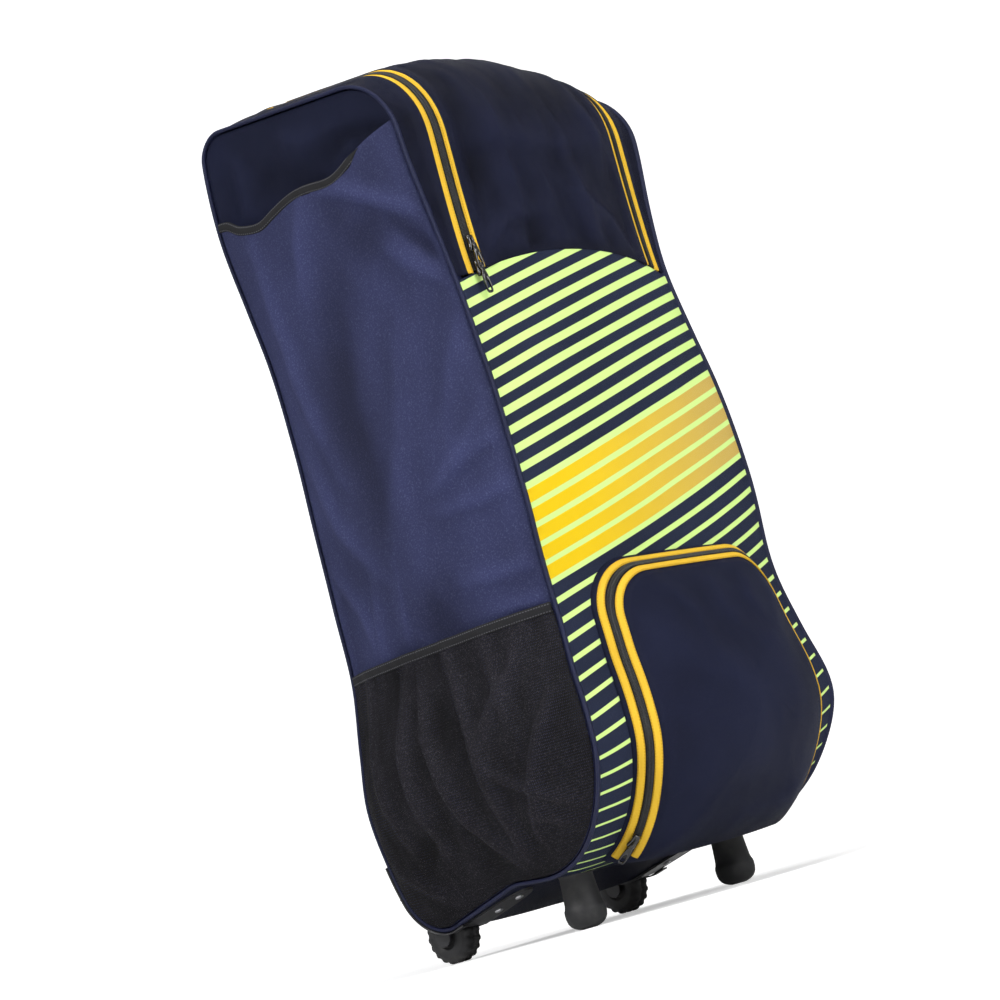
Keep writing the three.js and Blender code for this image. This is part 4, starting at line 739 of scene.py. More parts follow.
def striped_material(colours):
    material, tree, shader, place, lay = start_material("striped_cloth")
    values = {
        "Lay": lay, "Place": place, "Cloth": rgba(colours.ground), "Fleck": rgba(colours.ground_fleck),
        "Fleck Share": 0.35, "Mottle": 0.12, "Fold Shade": 0.15,
    }
    woven = use_group(tree, "weave", values)
    printed = use_group(tree, "print", {"Lay": lay})
    # Painted reflection: the block fades to its washed-out far-end colour.
    block = blend_colours(tree, printed["Fade"], rgba(colours.block), rgba(colours.block_glare))
    ground = blend_colours(tree, printed["Block"], woven["Colour"], block)
    colour = blend_colours(tree, printed["Stripe"], ground, rgba(colours.lime))
    tree.links.new(colour, shader.inputs["Base Color"])
    inked = calc(tree, "MAXIMUM", printed["Stripe"], printed["Block"])
    rough = calc(tree, "MULTIPLY_ADD", inked, -0.25, 0.62)
    tree.links.new(rough, shader.inputs["Roughness"])
    set_shader(shader, Specular_IOR_Level=0.1)
    small = use_group(tree, "crumple", {"Place": place, "Size": 0.06, "Sharpness": 0.2})
    bumped = add_bump(tree, shader, small["Height"], 0.0012)
    height = calc(tree, "MULTIPLY_ADD", inked, 0.6, woven["Height"])
    add_bump(tree, shader, height, 0.00015, before=bumped)
    return material


def net_material(colour):
    material, tree, shader, place, lay = start_material("knitted_net")
    net = use_group(tree, "net", {"Lay": lay, "Pitch": 0.0034, "Thread Share": 0.66})
    shade = use_group(tree, "weave", {
        "Lay": lay, "Place": place, "Cloth": rgba(colour), "Fleck": (0.075, 0.073, 0.088, 1),
        "Fleck Share": 0.5, "Mottle": 0.35, "Fold Shade": 0.75,
    })
    tree.links.new(shade["Colour"], shader.inputs["Base Color"])
    tree.links.new(net["Thread"], shader.inputs["Alpha"])
    add_bump(tree, shader, net["Height"], 0.0004)
    set_shader(shader, Roughness=0.75, Specular_IOR_Level=0.15)
    return material


def ribbed_material(name, colour, stitch, roughness, rib=0.0011, stitch_line=0.0035, gloss=0.2):
    material, tree, shader, place, lay = start_material(name)
    ribs = use_group(tree, "rib", {"Lay": lay, "Rib": rib, "Stitch Line": stitch_line})
    woven = use_group(tree, "weave", {
        "Lay": lay, "Place": place, "Cloth": rgba(colour), "Fleck": rgba([min(1, c * 1.6 + 0.01) for c in colour]),
        "Fleck Share": 0.3, "Mottle": 0.1,
    })
    shade = blend_colours(tree, ribs["Stitches"], woven["Colour"], rgba(stitch))
    tree.links.new(shade, shader.inputs["Base Color"])
    add_bump(tree, shader, ribs["Height"], 0.0003)
    set_shader(shader, Roughness=roughness, Specular_IOR_Level=gloss)
    return material


def moulded_material(name, base, rubbed, wear, roughness, metallic=0.0, coat=0.0, grain=0.00008):
    material, tree, shader, place, _ = start_material(name)
    surface = use_group(tree, "moulded", {
        "Place": place, "Base": rgba(base), "Rubbed": rgba(rubbed), "Wear": wear,
    })
    tree.links.new(surface["Colour"], shader.inputs["Base Color"])
    tree.links.new(calc(tree, "ADD", surface["Roughness"], roughness), shader.inputs["Roughness"])
    add_bump(tree, shader, surface["Height"], grain)
    set_shader(shader, Metallic=metallic, Coat_Weight=coat)
    return material


MATERIALS = {}


def material_for(finish):
    """The bag's materials by finish, each made the first time that it is asked for."""
    colours = bpy.context.scene.kit_bag_colours
    makers = {
        "side_cloth": lambda: cloth_material(
            "side_cloth", colours.side, colours.side_fleck, 0.6, 0.1, 0.72, 0.16, (0.07, 0.0034)),
        "satin_cloth": lambda: cloth_material(
            "satin_cloth", colours.satin, colours.satin_fleck, 0.3, 0.12, 0.33, 0.08, (0.035, 0.003), 0.0006, 0.8),
        "pocket_cloth": lambda: cloth_material(
            "pocket_cloth", colours.pocket, colours.satin_fleck, 0.3, 0.12, 0.5, 0.07, (0.05, 0.0018), 0.0007),
        "lining": lambda: cloth_material(
            "lining", colours.satin, colours.satin_fleck, 0.2, 0.1, 0.5, 0.2, (0.06, 0.001)),
        "striped_cloth": lambda: striped_material(colours),
        "mesh": lambda: net_material(colours.net),
        "elastic": lambda: ribbed_material("elastic", colours.elastic, (0.08, 0.08, 0.09), 0.8),
        "webbing": lambda: ribbed_material("webbing", colours.webbing, (0.05, 0.05, 0.06), 0.6, 0.0016, 0.009),
        "piping": lambda: ribbed_material("piping", colours.piping, colours.piping, 0.45, 0.0009, 0.1),
        "zip_tape": lambda: ribbed_material("zip_tape", colours.tape, colours.tape_stitch, 0.7, 0.0009, 0.0033),
        "zip_base": lambda: ribbed_material("zip_base", (0.012, 0.012, 0.013), (0.02, 0.02, 0.02), 0.7, 0.0009, 0.1),
        "zip_chain": lambda: moulded_material(
            "zip_chain", (0.012, 0.012, 0.012), (0.05, 0.05, 0.05), 0.25, 0.35),
        "slider": lambda: moulded_material(
            "slider", (0.01, 0.01, 0.011), (0.12, 0.12, 0.12), 0.2, 0.22, 0.3, 0.6, 0.00002),
        "rubber": lambda: moulded_material(
            "rubber", (0.014, 0.014, 0.016), (0.07, 0.068, 0.065), 0.45, 0.6),
        "black_plastic": lambda: moulded_material(
            "black_plastic", (0.015, 0.015, 0.018), (0.06, 0.06, 0.065), 0.25, 0.42, 0.0, 0.1),
        "steel": lambda: moulded_material(
            "steel", (0.62, 0.62, 0.64), (0.4, 0.4, 0.41), 0.5, 0.22, 1.0, 0.0, 0.00003),
    }
    if finish not in MATERIALS:
        MATERIALS[finish] = makers[finish]()
    return MATERIALS[finish]


# Sides

def side_reach_table():
    y, z, ny, nz, _ = OUTLINE.columns[:-1].T
    dy = y - ny * SEAM_INSET - SIDE_MIDDLE[0]
    dz = z - nz * SEAM_INSET - SIDE_MIDDLE[1]
    return np.arctan2(dz, dy), np.hypot(dy, dz)


SIDE_REACH = side_reach_table()


def side_share(y, z):
    """How far a place on the side lies from its middle, 1 at the panel's edge."""
    dy, dz = y - SIDE_MIDDLE[0], z - SIDE_MIDDLE[1]
    reach = np.interp(np.arctan2(dz, dy), *SIDE_REACH, period=2 * math.pi)
    return np.minimum(np.hypot(dy, dz) / reach, 1)


# Broad dents of the side, then its creases: (y, z) along them, width and height in millimetres
SIDE_DENTS = (
    (((36, 660), (39, 549), (28, 450)), 24, -4),
    (((-40, 740), (-60, 690)), 26, -3),
    (((70, 380), (80, 305)), (3, 16), 1.6),
    (((24, 380), (36, 305)), (16, 3), 1.6),
    (((-30, 340), (10, 310)), 30, -3),
)
SIDE_CREASES = (
    (((-8, 778), (-40, 766), (-76, 742), (-118, 714)), (6, 13), 4.2),
    (((-86, 716), (-118, 675), (-146, 648)), (6, 10), -4.5),
    (((-60, 706), (-96, 664), (-128, 640)), (8, 14), 2.6),
    (((108, 760), (112, 700), (112, 623), (97, 569), (76, 500)), (8, 17), 3.2),
    (((122, 530), (94, 450), (52, 392)), (8, 16), 3.2),
    (((-71, 450), (-100, 477), (-128, 500)), (6, 13), 2.4),
    (((-52, 448), (-111, 470), (-160, 479)), (5, 12), 2.6),
    (((-48, 424), (-110, 421), (-160, 427)), (5, 12), 2.4),
    (((-60, 350), (-108, 346), (-150, 346)), (5, 12), 2.4),
    (((-84, 313), (-126, 312), (-164, 313)), (5, 11), 2.2),
    (((-47, 610), (-23, 508), (14, 430)), (12, 24), 2.6),
    (((20, 782), (44, 740), (60, 690)), (8, 18), 3.0),
    (((-128, 600), (-104, 560), (-84, 500)), (9, 18), 2.2),
    (((130, 420), (96, 366), (84, 318)), (7, 14), 2.4),
)


def sleeve_face(y, z):
    share = side_share(y, z)
    return half_width(z) + SIDE_BULGE * (1 - share**2)


def wall_face(y, z):
    return sleeve_face(y, z) - 2.3 - SLEEVE_DEPTH * (1 - side_share(y, z) ** 5)


def net_face(y, z):
    low = 1 - smooth(0.5 * MESH_HEIGHT, MESH_HEIGHT, z)
    stand = MESH_DEPTH * (0.45 + 0.55 * low) * (1 - side_share(y, z) ** 6)
    return sleeve_face(y, z) + 1.8 + stand


def mouth_height(y):
    return MOUTH_HEIGHT + BAG_DEPTH * read_table(MOUTH_RISES, np.asarray(y) / BAG_DEPTH)


def outline_part(start, end, inset=SEAM_INSET):
    """A stretch of the outline, as a function of a share of its length."""
    def line(share):
        y, z, ny, nz, _ = OUTLINE.at(start + (end - start) * share)
        return np.stack([y - ny * inset, z - nz * inset], axis=-1)
    return line


def patch(bottom, top, back, front, rows, columns):
    """A grid of (y, z) places between four edge lines."""
    u = np.linspace(0, 1, columns)[None, :, None]
    v = np.linspace(0, 1, rows)[:, None, None]
    low, high = bottom(u[0, :, 0])[None], top(u[0, :, 0])[None]
    left, right = back(v[:, 0, 0])[:, None], front(v[:, 0, 0])[:, None]
    corners = (
        (1 - u) * (1 - v) * low[:, :1] + u * (1 - v) * low[:, -1:]
        + (1 - u) * v * high[:, :1] + u * v * high[:, -1:]
    )
    return (1 - v) * low + v * high + (1 - u) * left + u * right - corners


def side_patch(top_line, top_back, top_front, rows, columns):
    """The part of a side below a line that runs from the back seam to the front one."""
    back_low = OUTLINE.find(0, lambda y, z, ny, nz, half: ny > 0.6)
    front_low = OUTLINE.find(HEM, lambda y, z, ny, nz, half: nz < -0.72)
    back = outline_part(back_low, top_back)
    front = outline_part(front_low, top_front)
    bottom = outline_part(back_low + OUTLINE.length, front_low)
    return patch(bottom, top_line, back, front, rows, columns)


def side_cloth(name, side, grid, face, relief, thickness):
    y, z = grid[..., 0], grid[..., 1]
    folds = relief(y, z)
    x = side * (face(y, z) + folds)
    return cloth(name, np.stack([x, y, z], axis=-1), thickness, np.stack([y, z, folds], axis=-1))


def line_between(height_at, back, front):
    def line(share):
        y = back + (front - back) * share
        return np.stack([y, height_at(y)], axis=-1)
    return line


def piping_section(side, radius=2.1, flange=10.0, inset=1.3):
    """A round cord with the flat flange, turned into the bag, that its seam is sewn through."""
    angles = np.radians(np.linspace(-75, 255, 16))
    cord = radius * np.column_stack([np.cos(angles), np.sin(angles)])
    return np.vstack([cord, (-inset * side - 0.5, -flange), (-inset * side + 0.5, -flange)])


def side_relief(y, z):
    """Folds of a sleeve: chosen creases and dents, and slack that dies out at the seams."""
    share = side_share(y, z)
    fade = 1 - smooth(0.88, 1.0, share)
    places = np.stack([y, z, np.zeros_like(y)], axis=-1)
    slack = noise_at(places, 75, 3.1, (0.7, 1.5, 1)) * 3.2 + noise_at(places, 26, 8.7, (0.8, 1.6, 1)) * 0.7
    seam = smooth(0.9, 0.97, share) * (1 - smooth(0.985, 1, share))
    pucker = noise_at(places, 9, 1.3, (1, 1.6, 1)) * 0.7 * seam
    return (creases(SIDE_DENTS, y, z) * 1.6 + creases(SIDE_CREASES, y, z) * 1.5 + slack) * fade + pucker


def make_sides(shape):
    mouth_back = 0.491 * BAG_DEPTH - 1
    for word, side in SIDES:
        back_top = back_station(mouth_height(mouth_back))
        front_top = front_station_below_top(mouth_height(-0.47 * BAG_DEPTH))
        y_back = OUTLINE.at(back_top)[0] - SEAM_INSET
        y_front = OUTLINE.at(front_top)[0] + SEAM_INSET
        grid = side_patch(line_between(mouth_height, y_back, y_front), back_top, front_top, 190, 84)
        relief = lambda y, z: side_relief(y, z) * shape.fold_depth
        sleeve = side_cloth(f"bat_sleeve_cloth_{word}", side, grid, sleeve_face, relief, 1.6)
        dress(sleeve, material_for("side_cloth"), [f"bat_sleeve_{word}"])

        rear_top = OUTLINE.find(0, lambda y, z, ny, nz, half: (nz > 0.7) & (z > 0.9 * BAG_HEIGHT))
        nose = OUTLINE.find(rear_top, lambda y, z, ny, nz, half: ny < -0.75)
        back_low = OUTLINE.find(0, lambda y, z, ny, nz, half: ny > 0.6)
        front_low = OUTLINE.find(HEM, lambda y, z, ny, nz, half: nz < -0.72)
        wall = patch(
            outline_part(back_low + OUTLINE.length, front_low), outline_part(rear_top, nose),
            outline_part(back_low, rear_top), outline_part(front_low, nose), 170, 70,
        )

        def wall_relief(y, z):
            places = np.stack([y, z, np.full_like(y, side)], axis=-1)
            fade = 1 - smooth(0.9, 1.0, side_share(y, z))
            return (noise_at(places, 45, 5.5) * 4 + noise_at(places, 16, 2.5) * 1.1 + creases(WALL_CREASES, y, z)) * fade

        # Painted shade: the side wall seen above the sleeve's mouth is the sides' own cloth, given the darker pocket
        # cloth to stand in for the shade of its recess.
        inner = side_cloth(f"side_wall_{word}", side, wall, wall_face, wall_relief, 1.6)
        dress(inner, material_for("pocket_cloth"), [f"side_panel_{word}"])

        y = np.linspace(MOUTH_FRONT, y_back + 1, 110)
        z = mouth_height(y)
        places = np.stack([side * (sleeve_face(y, z) + relief(y, z)), y, z], axis=-1)
        taper = np.clip((y - MOUTH_FRONT) / 18, 0.12, 1)
        outs = np.tile((side, 0.0, 0.0), (len(y), 1))
        binding = sweep(f"mouth_binding_{word}", places, outs, flat_section(10, -2.2, 1.0, 0.4), scales=taper)
        dress(binding, material_for("elastic"), [f"sleeve_binding_{word}"])

        places = np.stack([side * OUTLINE.columns[:-1, 4], *OUTLINE.columns[:-1, :2].T], axis=-1)
        outs = np.tile((side, 0.0, 0.0), (len(places), 1))
        cord = sweep(f"side_piping_{word}", places, outs, piping_section(side), closed=True)
        dress(cord, material_for("piping"), [f"piping_{word}"])


WALL_CREASES = (
    (((-20, 812), (-55, 822), (-90, 813), (-128, 803)), (6, 12), -4.0),
    (((-92, 852), (-114, 835), (-128, 816)), (6, 12), 4.0),
    (((40, 860), (0, 838), (-50, 842)), (8, 18), 3.0),
    (((120, 880), (110, 840), (116, 800)), (10, 20), 3.0),
)

# Gathers of a mesh pocket below its band, and the folds that run down from them
NET_CREASES = (
    (((22, 294), (31, 218), (8, 128), (-32, 62)), (3.5, 15), 5.5),
    (((-14, 292), (-23, 253), (-36, 169), (-38, 76)), (4, 13), 4.6),
    (((-104, 290), (-98, 262), (-67, 232), (-44, 206)), (4, 12), 3.8),
    (((-136, 226), (-91, 148), (-66, 100)), (4, 11), 4.2),
    (((-40, 170), (-90, 137), (-138, 108)), (3.5, 9), 3.2),
    (((-76, 117), (-128, 86)), (3.5, 9), 2.6),
    (((46, 292), (68, 206), (57, 112)), (4, 14), 4.2),
    (((104, 292), (112, 220), (96, 130)), (5, 14), 3.4),
    (((82, 100), (55, 128), (38, 134)), (10, 14), -3.6),
    (((130, 104), (91, 64), (46, 44)), (6, 12), 3.0),
    (((-66, 292), (-70, 262), (-86, 200)), (5, 12), 3.0),
)


def net_relief(y, z):
    share = side_share(y, z)
    fade = 1 - smooth(0.9, 1.0, share)
    places = np.stack([y, z, np.zeros_like(y)], axis=-1)
    gathers = np.sin(y / 5.2 + 1.5 * np.sin(y / 17)) * 0.8 * smooth(MESH_HEIGHT - 60, MESH_HEIGHT, z)
    slack = noise_at(places, 40, 6.2, (0.8, 1.6, 1)) * 2.2 + noise_at(places, 14, 4.4, (0.7, 1.6, 1)) * 0.9
    return (creases(NET_CREASES, y, z) * 1.3 + slack + gathers) * fade


def make_mesh_pockets(shape):
    for word, side in SIDES:
        back_top = back_station(MESH_HEIGHT)
        front_top = front_station(MESH_HEIGHT)
        y_back = OUTLINE.at(back_top)[0] - SEAM_INSET
        y_front = OUTLINE.at(front_top)[0] + SEAM_INSET
        level = lambda y: np.full_like(y, MESH_HEIGHT)
        grid = side_patch(line_between(level, y_back, y_front), back_top, front_top, 110, 110)
        relief = lambda y, z: net_relief(y, z) * shape.fold_depth
        net = side_cloth(f"mesh_pocket_net_{word}", side, grid, net_face, relief, 0.8)
        dress(net, material_for("mesh"), [f"mesh_pocket_{word}"])

        y = np.linspace(y_back - 1, y_front + 1, 150)
        z = np.full_like(y, MESH_HEIGHT + 4)
        places = np.stack([side * (net_face(y, z) + relief(y, z) * 0.6), y, z], axis=-1)
        outs = np.tile((side, 0.0, 0.0), (len(y), 1))
        band = sweep(f"mesh_pocket_band_{word}", places, outs, flat_section(11, -1.6, 0.8, 0.3))
        dress(band, material_for("elastic"), [f"mesh_band_{word}"])


# Lid, what surrounds it, and the panels of the band

def hem_at(x):
    return HEM - HEM_ARCH * (1 - np.minimum(np.abs(x) / edge_of(HEM), 1) ** 2)


def zip_route(outwards, step=2.5):
    """Stations and places across of the main zip's U, moved out from the chain's middle."""
    x = MAIN_ZIP_HALF + outwards
    rear = ZIP_REAR - outwards
    radius = MAIN_ZIP_RADIUS + outwards
    low = hem_at(x) - 1
    leg = np.linspace(low, rear + radius, int((low - rear - radius) / step))
    turns = np.linspace(0, math.pi / 2, max(6, int(radius * 1.6 / step)))[1:-1]
    cross = np.linspace(-x + radius, x - radius, int(2 * (x - radius) / step))
    near = np.stack([rear + radius - radius * np.sin(turns), -x + radius - radius * np.cos(turns)], axis=-1)
    legs = np.stack([leg, np.full_like(leg, -x)], axis=-1)
    middle = np.stack([np.full_like(cross, rear), cross], axis=-1)
    half = np.concatenate([legs, near])
    return np.concatenate([half, middle, half[::-1] * (1, -1)])


def strip_cloth(name, s, x, relief, thickness=1.8):
    """A panel of the band, from grids of stations and places across, with folds raised on it."""
    folds = relief(s, x)
    places = strip(s, x) + strip_normals(s, x) * folds[..., None]
    lay = np.stack([x, OUTLINE.at(HEM)[1] - (s - HEM), folds], axis=-1)
    return cloth(name, places, thickness, lay)


def s_places(s, x, wide=1.0):
    return np.stack([x * wide, s, np.zeros_like(x)], axis=-1)


# The lid's cloth laps over the inner tape, and the cloth around it over the outer one
LID_LAP = 5.5
SURROUND_LAP = 2.0
LAP_RISE = 1.7

LID_CREASES = (
    (((-70, 1), (-55, -80), (-60, -190)), (8, 20), 3.0),
    (((-10, 0), (-5, -70), (-18, -150)), (9, 18), 2.4),
    (((60, 0), (48, -90), (40, -160)), (8, 20), 3.0),
    (((110, -10), (84, -60), (40, -90)), (6, 14), 2.6),
    (((-116, -30), (-80, -60), (-20, -70)), (6, 14), 2.4),
    (((-116, -140), (-60, -150), (30, -142), (110, -150)), (10, 22), 3.0),
    (((-90, -250), (-20, -262), (60, -255)), (10, 24), 3.0),
    (((116, -120), (90, -190), (96, -260)), (7, 16), 2.6),
)


def lid_relief(s, x):
    places = s_places(s, x)
    radius = MAIN_ZIP_RADIUS - ZIP_LAY + LID_LAP
    past_side = np.abs(x) - (MAIN_ZIP_HALF - MAIN_ZIP_RADIUS)
    past_rear = ZIP_REAR + MAIN_ZIP_RADIUS - s
    beyond = np.hypot(np.maximum(past_side, 0), np.maximum(past_rear, 0))
    inward = radius - beyond - np.minimum(np.maximum(past_side, past_rear), 0)
    edge = smooth(0, 22, inward) * smooth(0, 14, hem_at(x) - s)
    fold = LAP_RISE * smooth(-0.5, 1.5, inward) * (1 - smooth(LID_LAP + 2, LID_LAP + 16, inward))
    slack = noise_at(places, 60, 2.2, (1, 1.4, 1)) * 3.2 + noise_at(places, 22, 6.1, (0.8, 1.5, 1)) * 1.3
    near_hem = np.exp(-((hem_at(x) - s) / 46) ** 2)
    gathers = np.sin(x / 8.5 + 2 * np.sin(x / 29)) * 1.0 * near_hem
    return (creases(LID_CREASES, x, s - HEM) + slack + gathers) * edge + fold


def make_lid(shape):
    lay = ZIP_LAY - LID_LAP
    half = MAIN_ZIP_HALF - lay
    radius = MAIN_ZIP_RADIUS - lay
    x = half * np.sin(np.linspace(-1, 1, 110) * math.pi / 2)
    past = np.maximum(np.abs(x) - (half - radius), 0)
    rear = ZIP_REAR + lay + radius - np.sqrt(np.maximum(radius**2 - past**2, 0))
    rows = np.linspace(0, 1, 150)[:, None]
    s = rear + (hem_at(x) - rear) * rows
    x = np.broadcast_to(x, s.shape)
    lid = strip_cloth("lid_cloth", s, x, lambda s, x: lid_relief(s, x) * shape.fold_depth)
    dress(lid, material_for("satin_cloth"), ["lid_panel"])

    route = zip_route(ZIP_LAY - SURROUND_LAP)
    inner_s, inner_x = route.T
    flat_half = MAIN_ZIP_HALF - MAIN_ZIP_RADIUS
    leg_end = ZIP_REAR + MAIN_ZIP_RADIUS
    turn = np.arcsin(np.clip((np.abs(inner_x) - flat_half) / (MAIN_ZIP_RADIUS + ZIP_LAY - SURROUND_LAP), 0, 1)) / (math.pi / 4)
    down = np.clip(turn - 1, 0, 1)
    corner = edge_of(REAR_SEAM)
    outer_s = np.where(inner_s > leg_end, inner_s, REAR_SEAM + (leg_end - REAR_SEAM) * down)
    outer_x = np.where(turn >= 1, edge_of(outer_s), flat_half + (corner - flat_half) * np.clip(turn, 0, 1))
    outer_x = np.where(np.abs(inner_x) <= flat_half, inner_x, np.sign(inner_x) * outer_x)
    shares = np.linspace(0, 1, 16)[None]
    s = inner_s[:, None] + (outer_s - inner_s)[:, None] * shares
    x = inner_x[:, None] + (outer_x - inner_x)[:, None] * shares

    def relief(s, x):
        fade = np.sin(np.pi * np.clip(shares, 0, 1)) ** 0.6
        places = s_places(s, x)
        slack = noise_at(places, 34, 9.4) * 1.6 + noise_at(places, 12, 3.3) * 0.6
        return slack * fade * shape.fold_depth + LAP_RISE * (1 - smooth(0.05, 0.5, shares))

    surround = strip_cloth("lid_surround_cloth", s, x, relief)
    dress(surround, material_for("satin_cloth"), ["lid_surround"])


def band_grid(start_at, end_at, rows, columns):
    """Stations and places across of a panel as wide as the band."""
    spread = np.sin(np.linspace(-1, 1, columns) * math.pi / 2)[None]
    starts = start_at(spread * edge_of(start_at(np.zeros(1))))
    ends = end_at(spread * edge_of(end_at(np.zeros(1))))
    s = starts + (ends - starts) * np.linspace(0, 1, rows)[:, None]
    return s, spread * edge_of(s)


FRONT_CREASES = (
    (((-168, -10), (-120, -60), (-40, -120)), (14, 26), 1.8),
    (((165, -30), (110, -90), (60, -180)), (14, 26), 1.8),
    (((-165, -190), (-90, -230), (20, -250)), (16, 30), 1.6),
)


def make_panels(shape):
    def front_relief(s, x):
        edge = smooth(0, 20, edge_of(s) - np.abs(x)) * smooth(0, 10, s - hem_at(x))
        places = s_places(s, x)
        slack = noise_at(places, 90, 4.6, (1, 1.3, 1)) * 2.0 + noise_at(places, 30, 2.6) * 0.45
        return (creases(FRONT_CREASES, x, HEM - s) + slack) * edge * shape.fold_depth

    s, x = band_grid(hem_at, lambda x: np.full_like(x, FRONT_SEAM), 190, 100)
    front = strip_cloth("striped_front", s, x, front_relief)
    dress(front, material_for("striped_cloth"), ["front_panel"])

    def plain_relief(s, x):
        edge = smooth(0, 24, edge_of(s) - np.abs(x))
        places = s_places(s, x)
        return (noise_at(places, 80, 7.3) * 2.2 + noise_at(places, 26, 1.9) * 0.7) * edge * shape.fold_depth

    s, x = band_grid(
        lambda x: np.full_like(x, BACK_SEAM), lambda x: np.full_like(x, REAR_SEAM), 150, 70)
    back = strip_cloth("back_cloth", s, x, plain_relief)
    dress(back, material_for("side_cloth"), ["back_panel"])

    end = OUTLINE.length + BACK_SEAM
    s, x = band_grid(lambda x: np.full_like(x, FRONT_SEAM), lambda x: np.full_like(x, end), 70, 80)
    base = strip_cloth("base_cloth", s, x, lambda s, x: plain_relief(s, x) * 0.3)
    dress(base, material_for("pocket_cloth"), ["base_panel"])


# Zips

def zip_teeth(name, places, outs, size=1.0):
    """Two rows of interlocking coils along a line."""
    pitch = 1.5 * size
    along = unit(np.gradient(places, axis=0))
    reach = np.concatenate([[0], np.cumsum(np.linalg.norm(np.diff(places, axis=0), axis=1))])
    at = np.arange(0, reach[-1], pitch / 2)
    spot = np.stack([np.interp(at, reach, column) for column in places.T], axis=-1)
    out = unit(np.stack([np.interp(at, reach, column) for column in outs.T], axis=-1))
    along = unit(np.stack([np.interp(at, reach, column) for column in along.T], axis=-1))
    aside = np.cross(along, out)
    row = np.where(np.arange(len(at)) % 2, 1.0, -1.0)
    stations = np.array((-2.3, -1.9, 0.0, 1.9, 2.3)) * size
    radii = np.array((0.25, 0.6, 0.7, 0.6, 0.25)) * size
    angles = np.arange(6) * math.pi / 3
    ring = np.stack([np.cos(angles), np.sin(angles) * 1.25], axis=-1)
    centre = spot + out * 0.5 + aside * (row * 1.75 * size)[:, None]
    points = (
        centre[:, None, None]
        + aside[:, None, None] * stations[None, :, None, None]
        + along[:, None, None] * (radii[:, None] * ring[None, :, 0])[None, ..., None]
        + out[:, None, None] * (radii[:, None] * ring[None, :, 1])[None, ..., None]
    )
    faces = []
    count = len(stations) * len(angles)
    loop = grid_faces(len(stations), len(angles), True)
    caps = [list(range(6))[::-1], list(range(count - 6, count))]
    for tooth in range(len(at)):
        faces += [[tooth * count + corner for corner in face] for face in [*loop, *caps]]
    return make_object(name, points.reshape(-1, 3), faces, np.zeros((len(at) * count, 2)))


def strip_line(route, lift=0.0):
    s, x = route.T
    return strip(s, x, lift), strip_normals(s, x)


def make_main_zip(shape):
    places, outs = strip_line(zip_route(0, 4))
    base = sweep("main_zip_base", places, outs, flat_section(ZIP_CHAIN + 1, -1.3, -0.1))
    dress(base, material_for("zip_base"), [])
    teeth = zip_teeth("main_zip_coils", places, outs)
    dress(teeth, material_for("zip_chain"), ["main_zip_chain"])
    for word, outwards in (("inner", -1), ("outer", 1)):
        places, outs = strip_line(zip_route(outwards * (ZIP_CHAIN + ZIP_TAPE) / 2, 4))
        tape = sweep(f"main_zip_{word}_tape", places, outs, flat_section(ZIP_TAPE, -1.2, 0.5, 0.5))
        dress(tape, material_for("zip_tape"), [f"main_zip_tape_{word}"])


# Front pocket

POCKET_HIGH = front_station(POCKET_TOP)
POCKET_LOW = front_station(POCKET_FOOT)
POCKET_MIDDLE = (POCKET_HIGH + POCKET_LOW) / 2


def pocket_rim(step=3.0):
    """The pocket's outline as stations and places across, from its right foot round to the right."""
    half = POCKET_WIDTH / 2
    line = []

    def arc(s, x, radius, start):
        for angle in np.linspace(start, start + math.pi / 2, max(8, int(radius * 1.6 / step))):
            line.append((s + radius * math.sin(angle), x + radius * math.cos(angle)))

    arc(POCKET_LOW - POCKET_FOOT_RADIUS, half - POCKET_FOOT_RADIUS, POCKET_FOOT_RADIUS, 0)
    arc(POCKET_LOW - POCKET_FOOT_RADIUS, POCKET_FOOT_RADIUS - half, POCKET_FOOT_RADIUS, math.pi / 2)
    arc(POCKET_HIGH + POCKET_RADIUS, POCKET_RADIUS - half, POCKET_RADIUS, math.pi)
    arc(POCKET_HIGH + POCKET_RADIUS, half - POCKET_RADIUS, POCKET_RADIUS, 1.5 * math.pi)
    line = np.array(line)
    closed = np.vstack([line, line[:1]])
    reach = np.concatenate([[0], np.cumsum(np.linalg.norm(np.diff(closed, axis=0), axis=1))])
    at = np.arange(0, reach[-1], step)
    return np.stack([np.interp(at, reach, column) for column in closed.T], axis=-1)


POCKET_RIM = pocket_rim()


def pocket_height(share):
    past = np.clip((1 - share) / (1 - POCKET_RIM_SHARE), 0, 1)
    inside = np.clip(share / POCKET_RIM_SHARE, 0, 1)
    swell = np.sin(past * math.pi / 2) * 0.25 + past * 0.75
    return POCKET_GUSSET * swell + (POCKET_DEPTH - POCKET_GUSSET) * (1 - inside**2.2)


def pocket_places(share, rim=POCKET_RIM, lift=0.0):
    """Places on the pocket at shares of the way out to its rim."""
    s = POCKET_MIDDLE + (rim[..., 0] - POCKET_MIDDLE) * share
    x = rim[..., 1] * share * OUTLINE.at(s)[4] / (BAG_WIDTH / 2)
    return strip(s, x, pocket_height(share) + lift), s, x


POCKET_CREASES = (
    (((-100, -70), (-60, -20), (20, 10)), (12, 26), 2.4),
    (((100, -90), (70, -40), (20, -20)), (12, 24), 2.2),
    (((-95, 60), (-40, 40), (30, 50)), (12, 26), 2.0),
    (((-60, -118), (-40, -80), (-44, -40)), (8, 16), 2.0),
    (((10, -118), (4, -84), (14, -50)), (8, 16), 1.8),
    (((64, -118), (50, -90), (58, -60)), (8, 16), 1.8),
    (((90, 70), (60, 90), (0, 96)), (9, 18), 2.0),
)


def reach_share(reach):
    """The share of the way out to the rim at a distance up the slanted side of the pocket."""
    across = (1 - POCKET_RIM_SHARE) * (POCKET_LOW - POCKET_HIGH) / 2
    return 1 - reach * (1 - POCKET_RIM_SHARE) / math.hypot(POCKET_GUSSET, across)


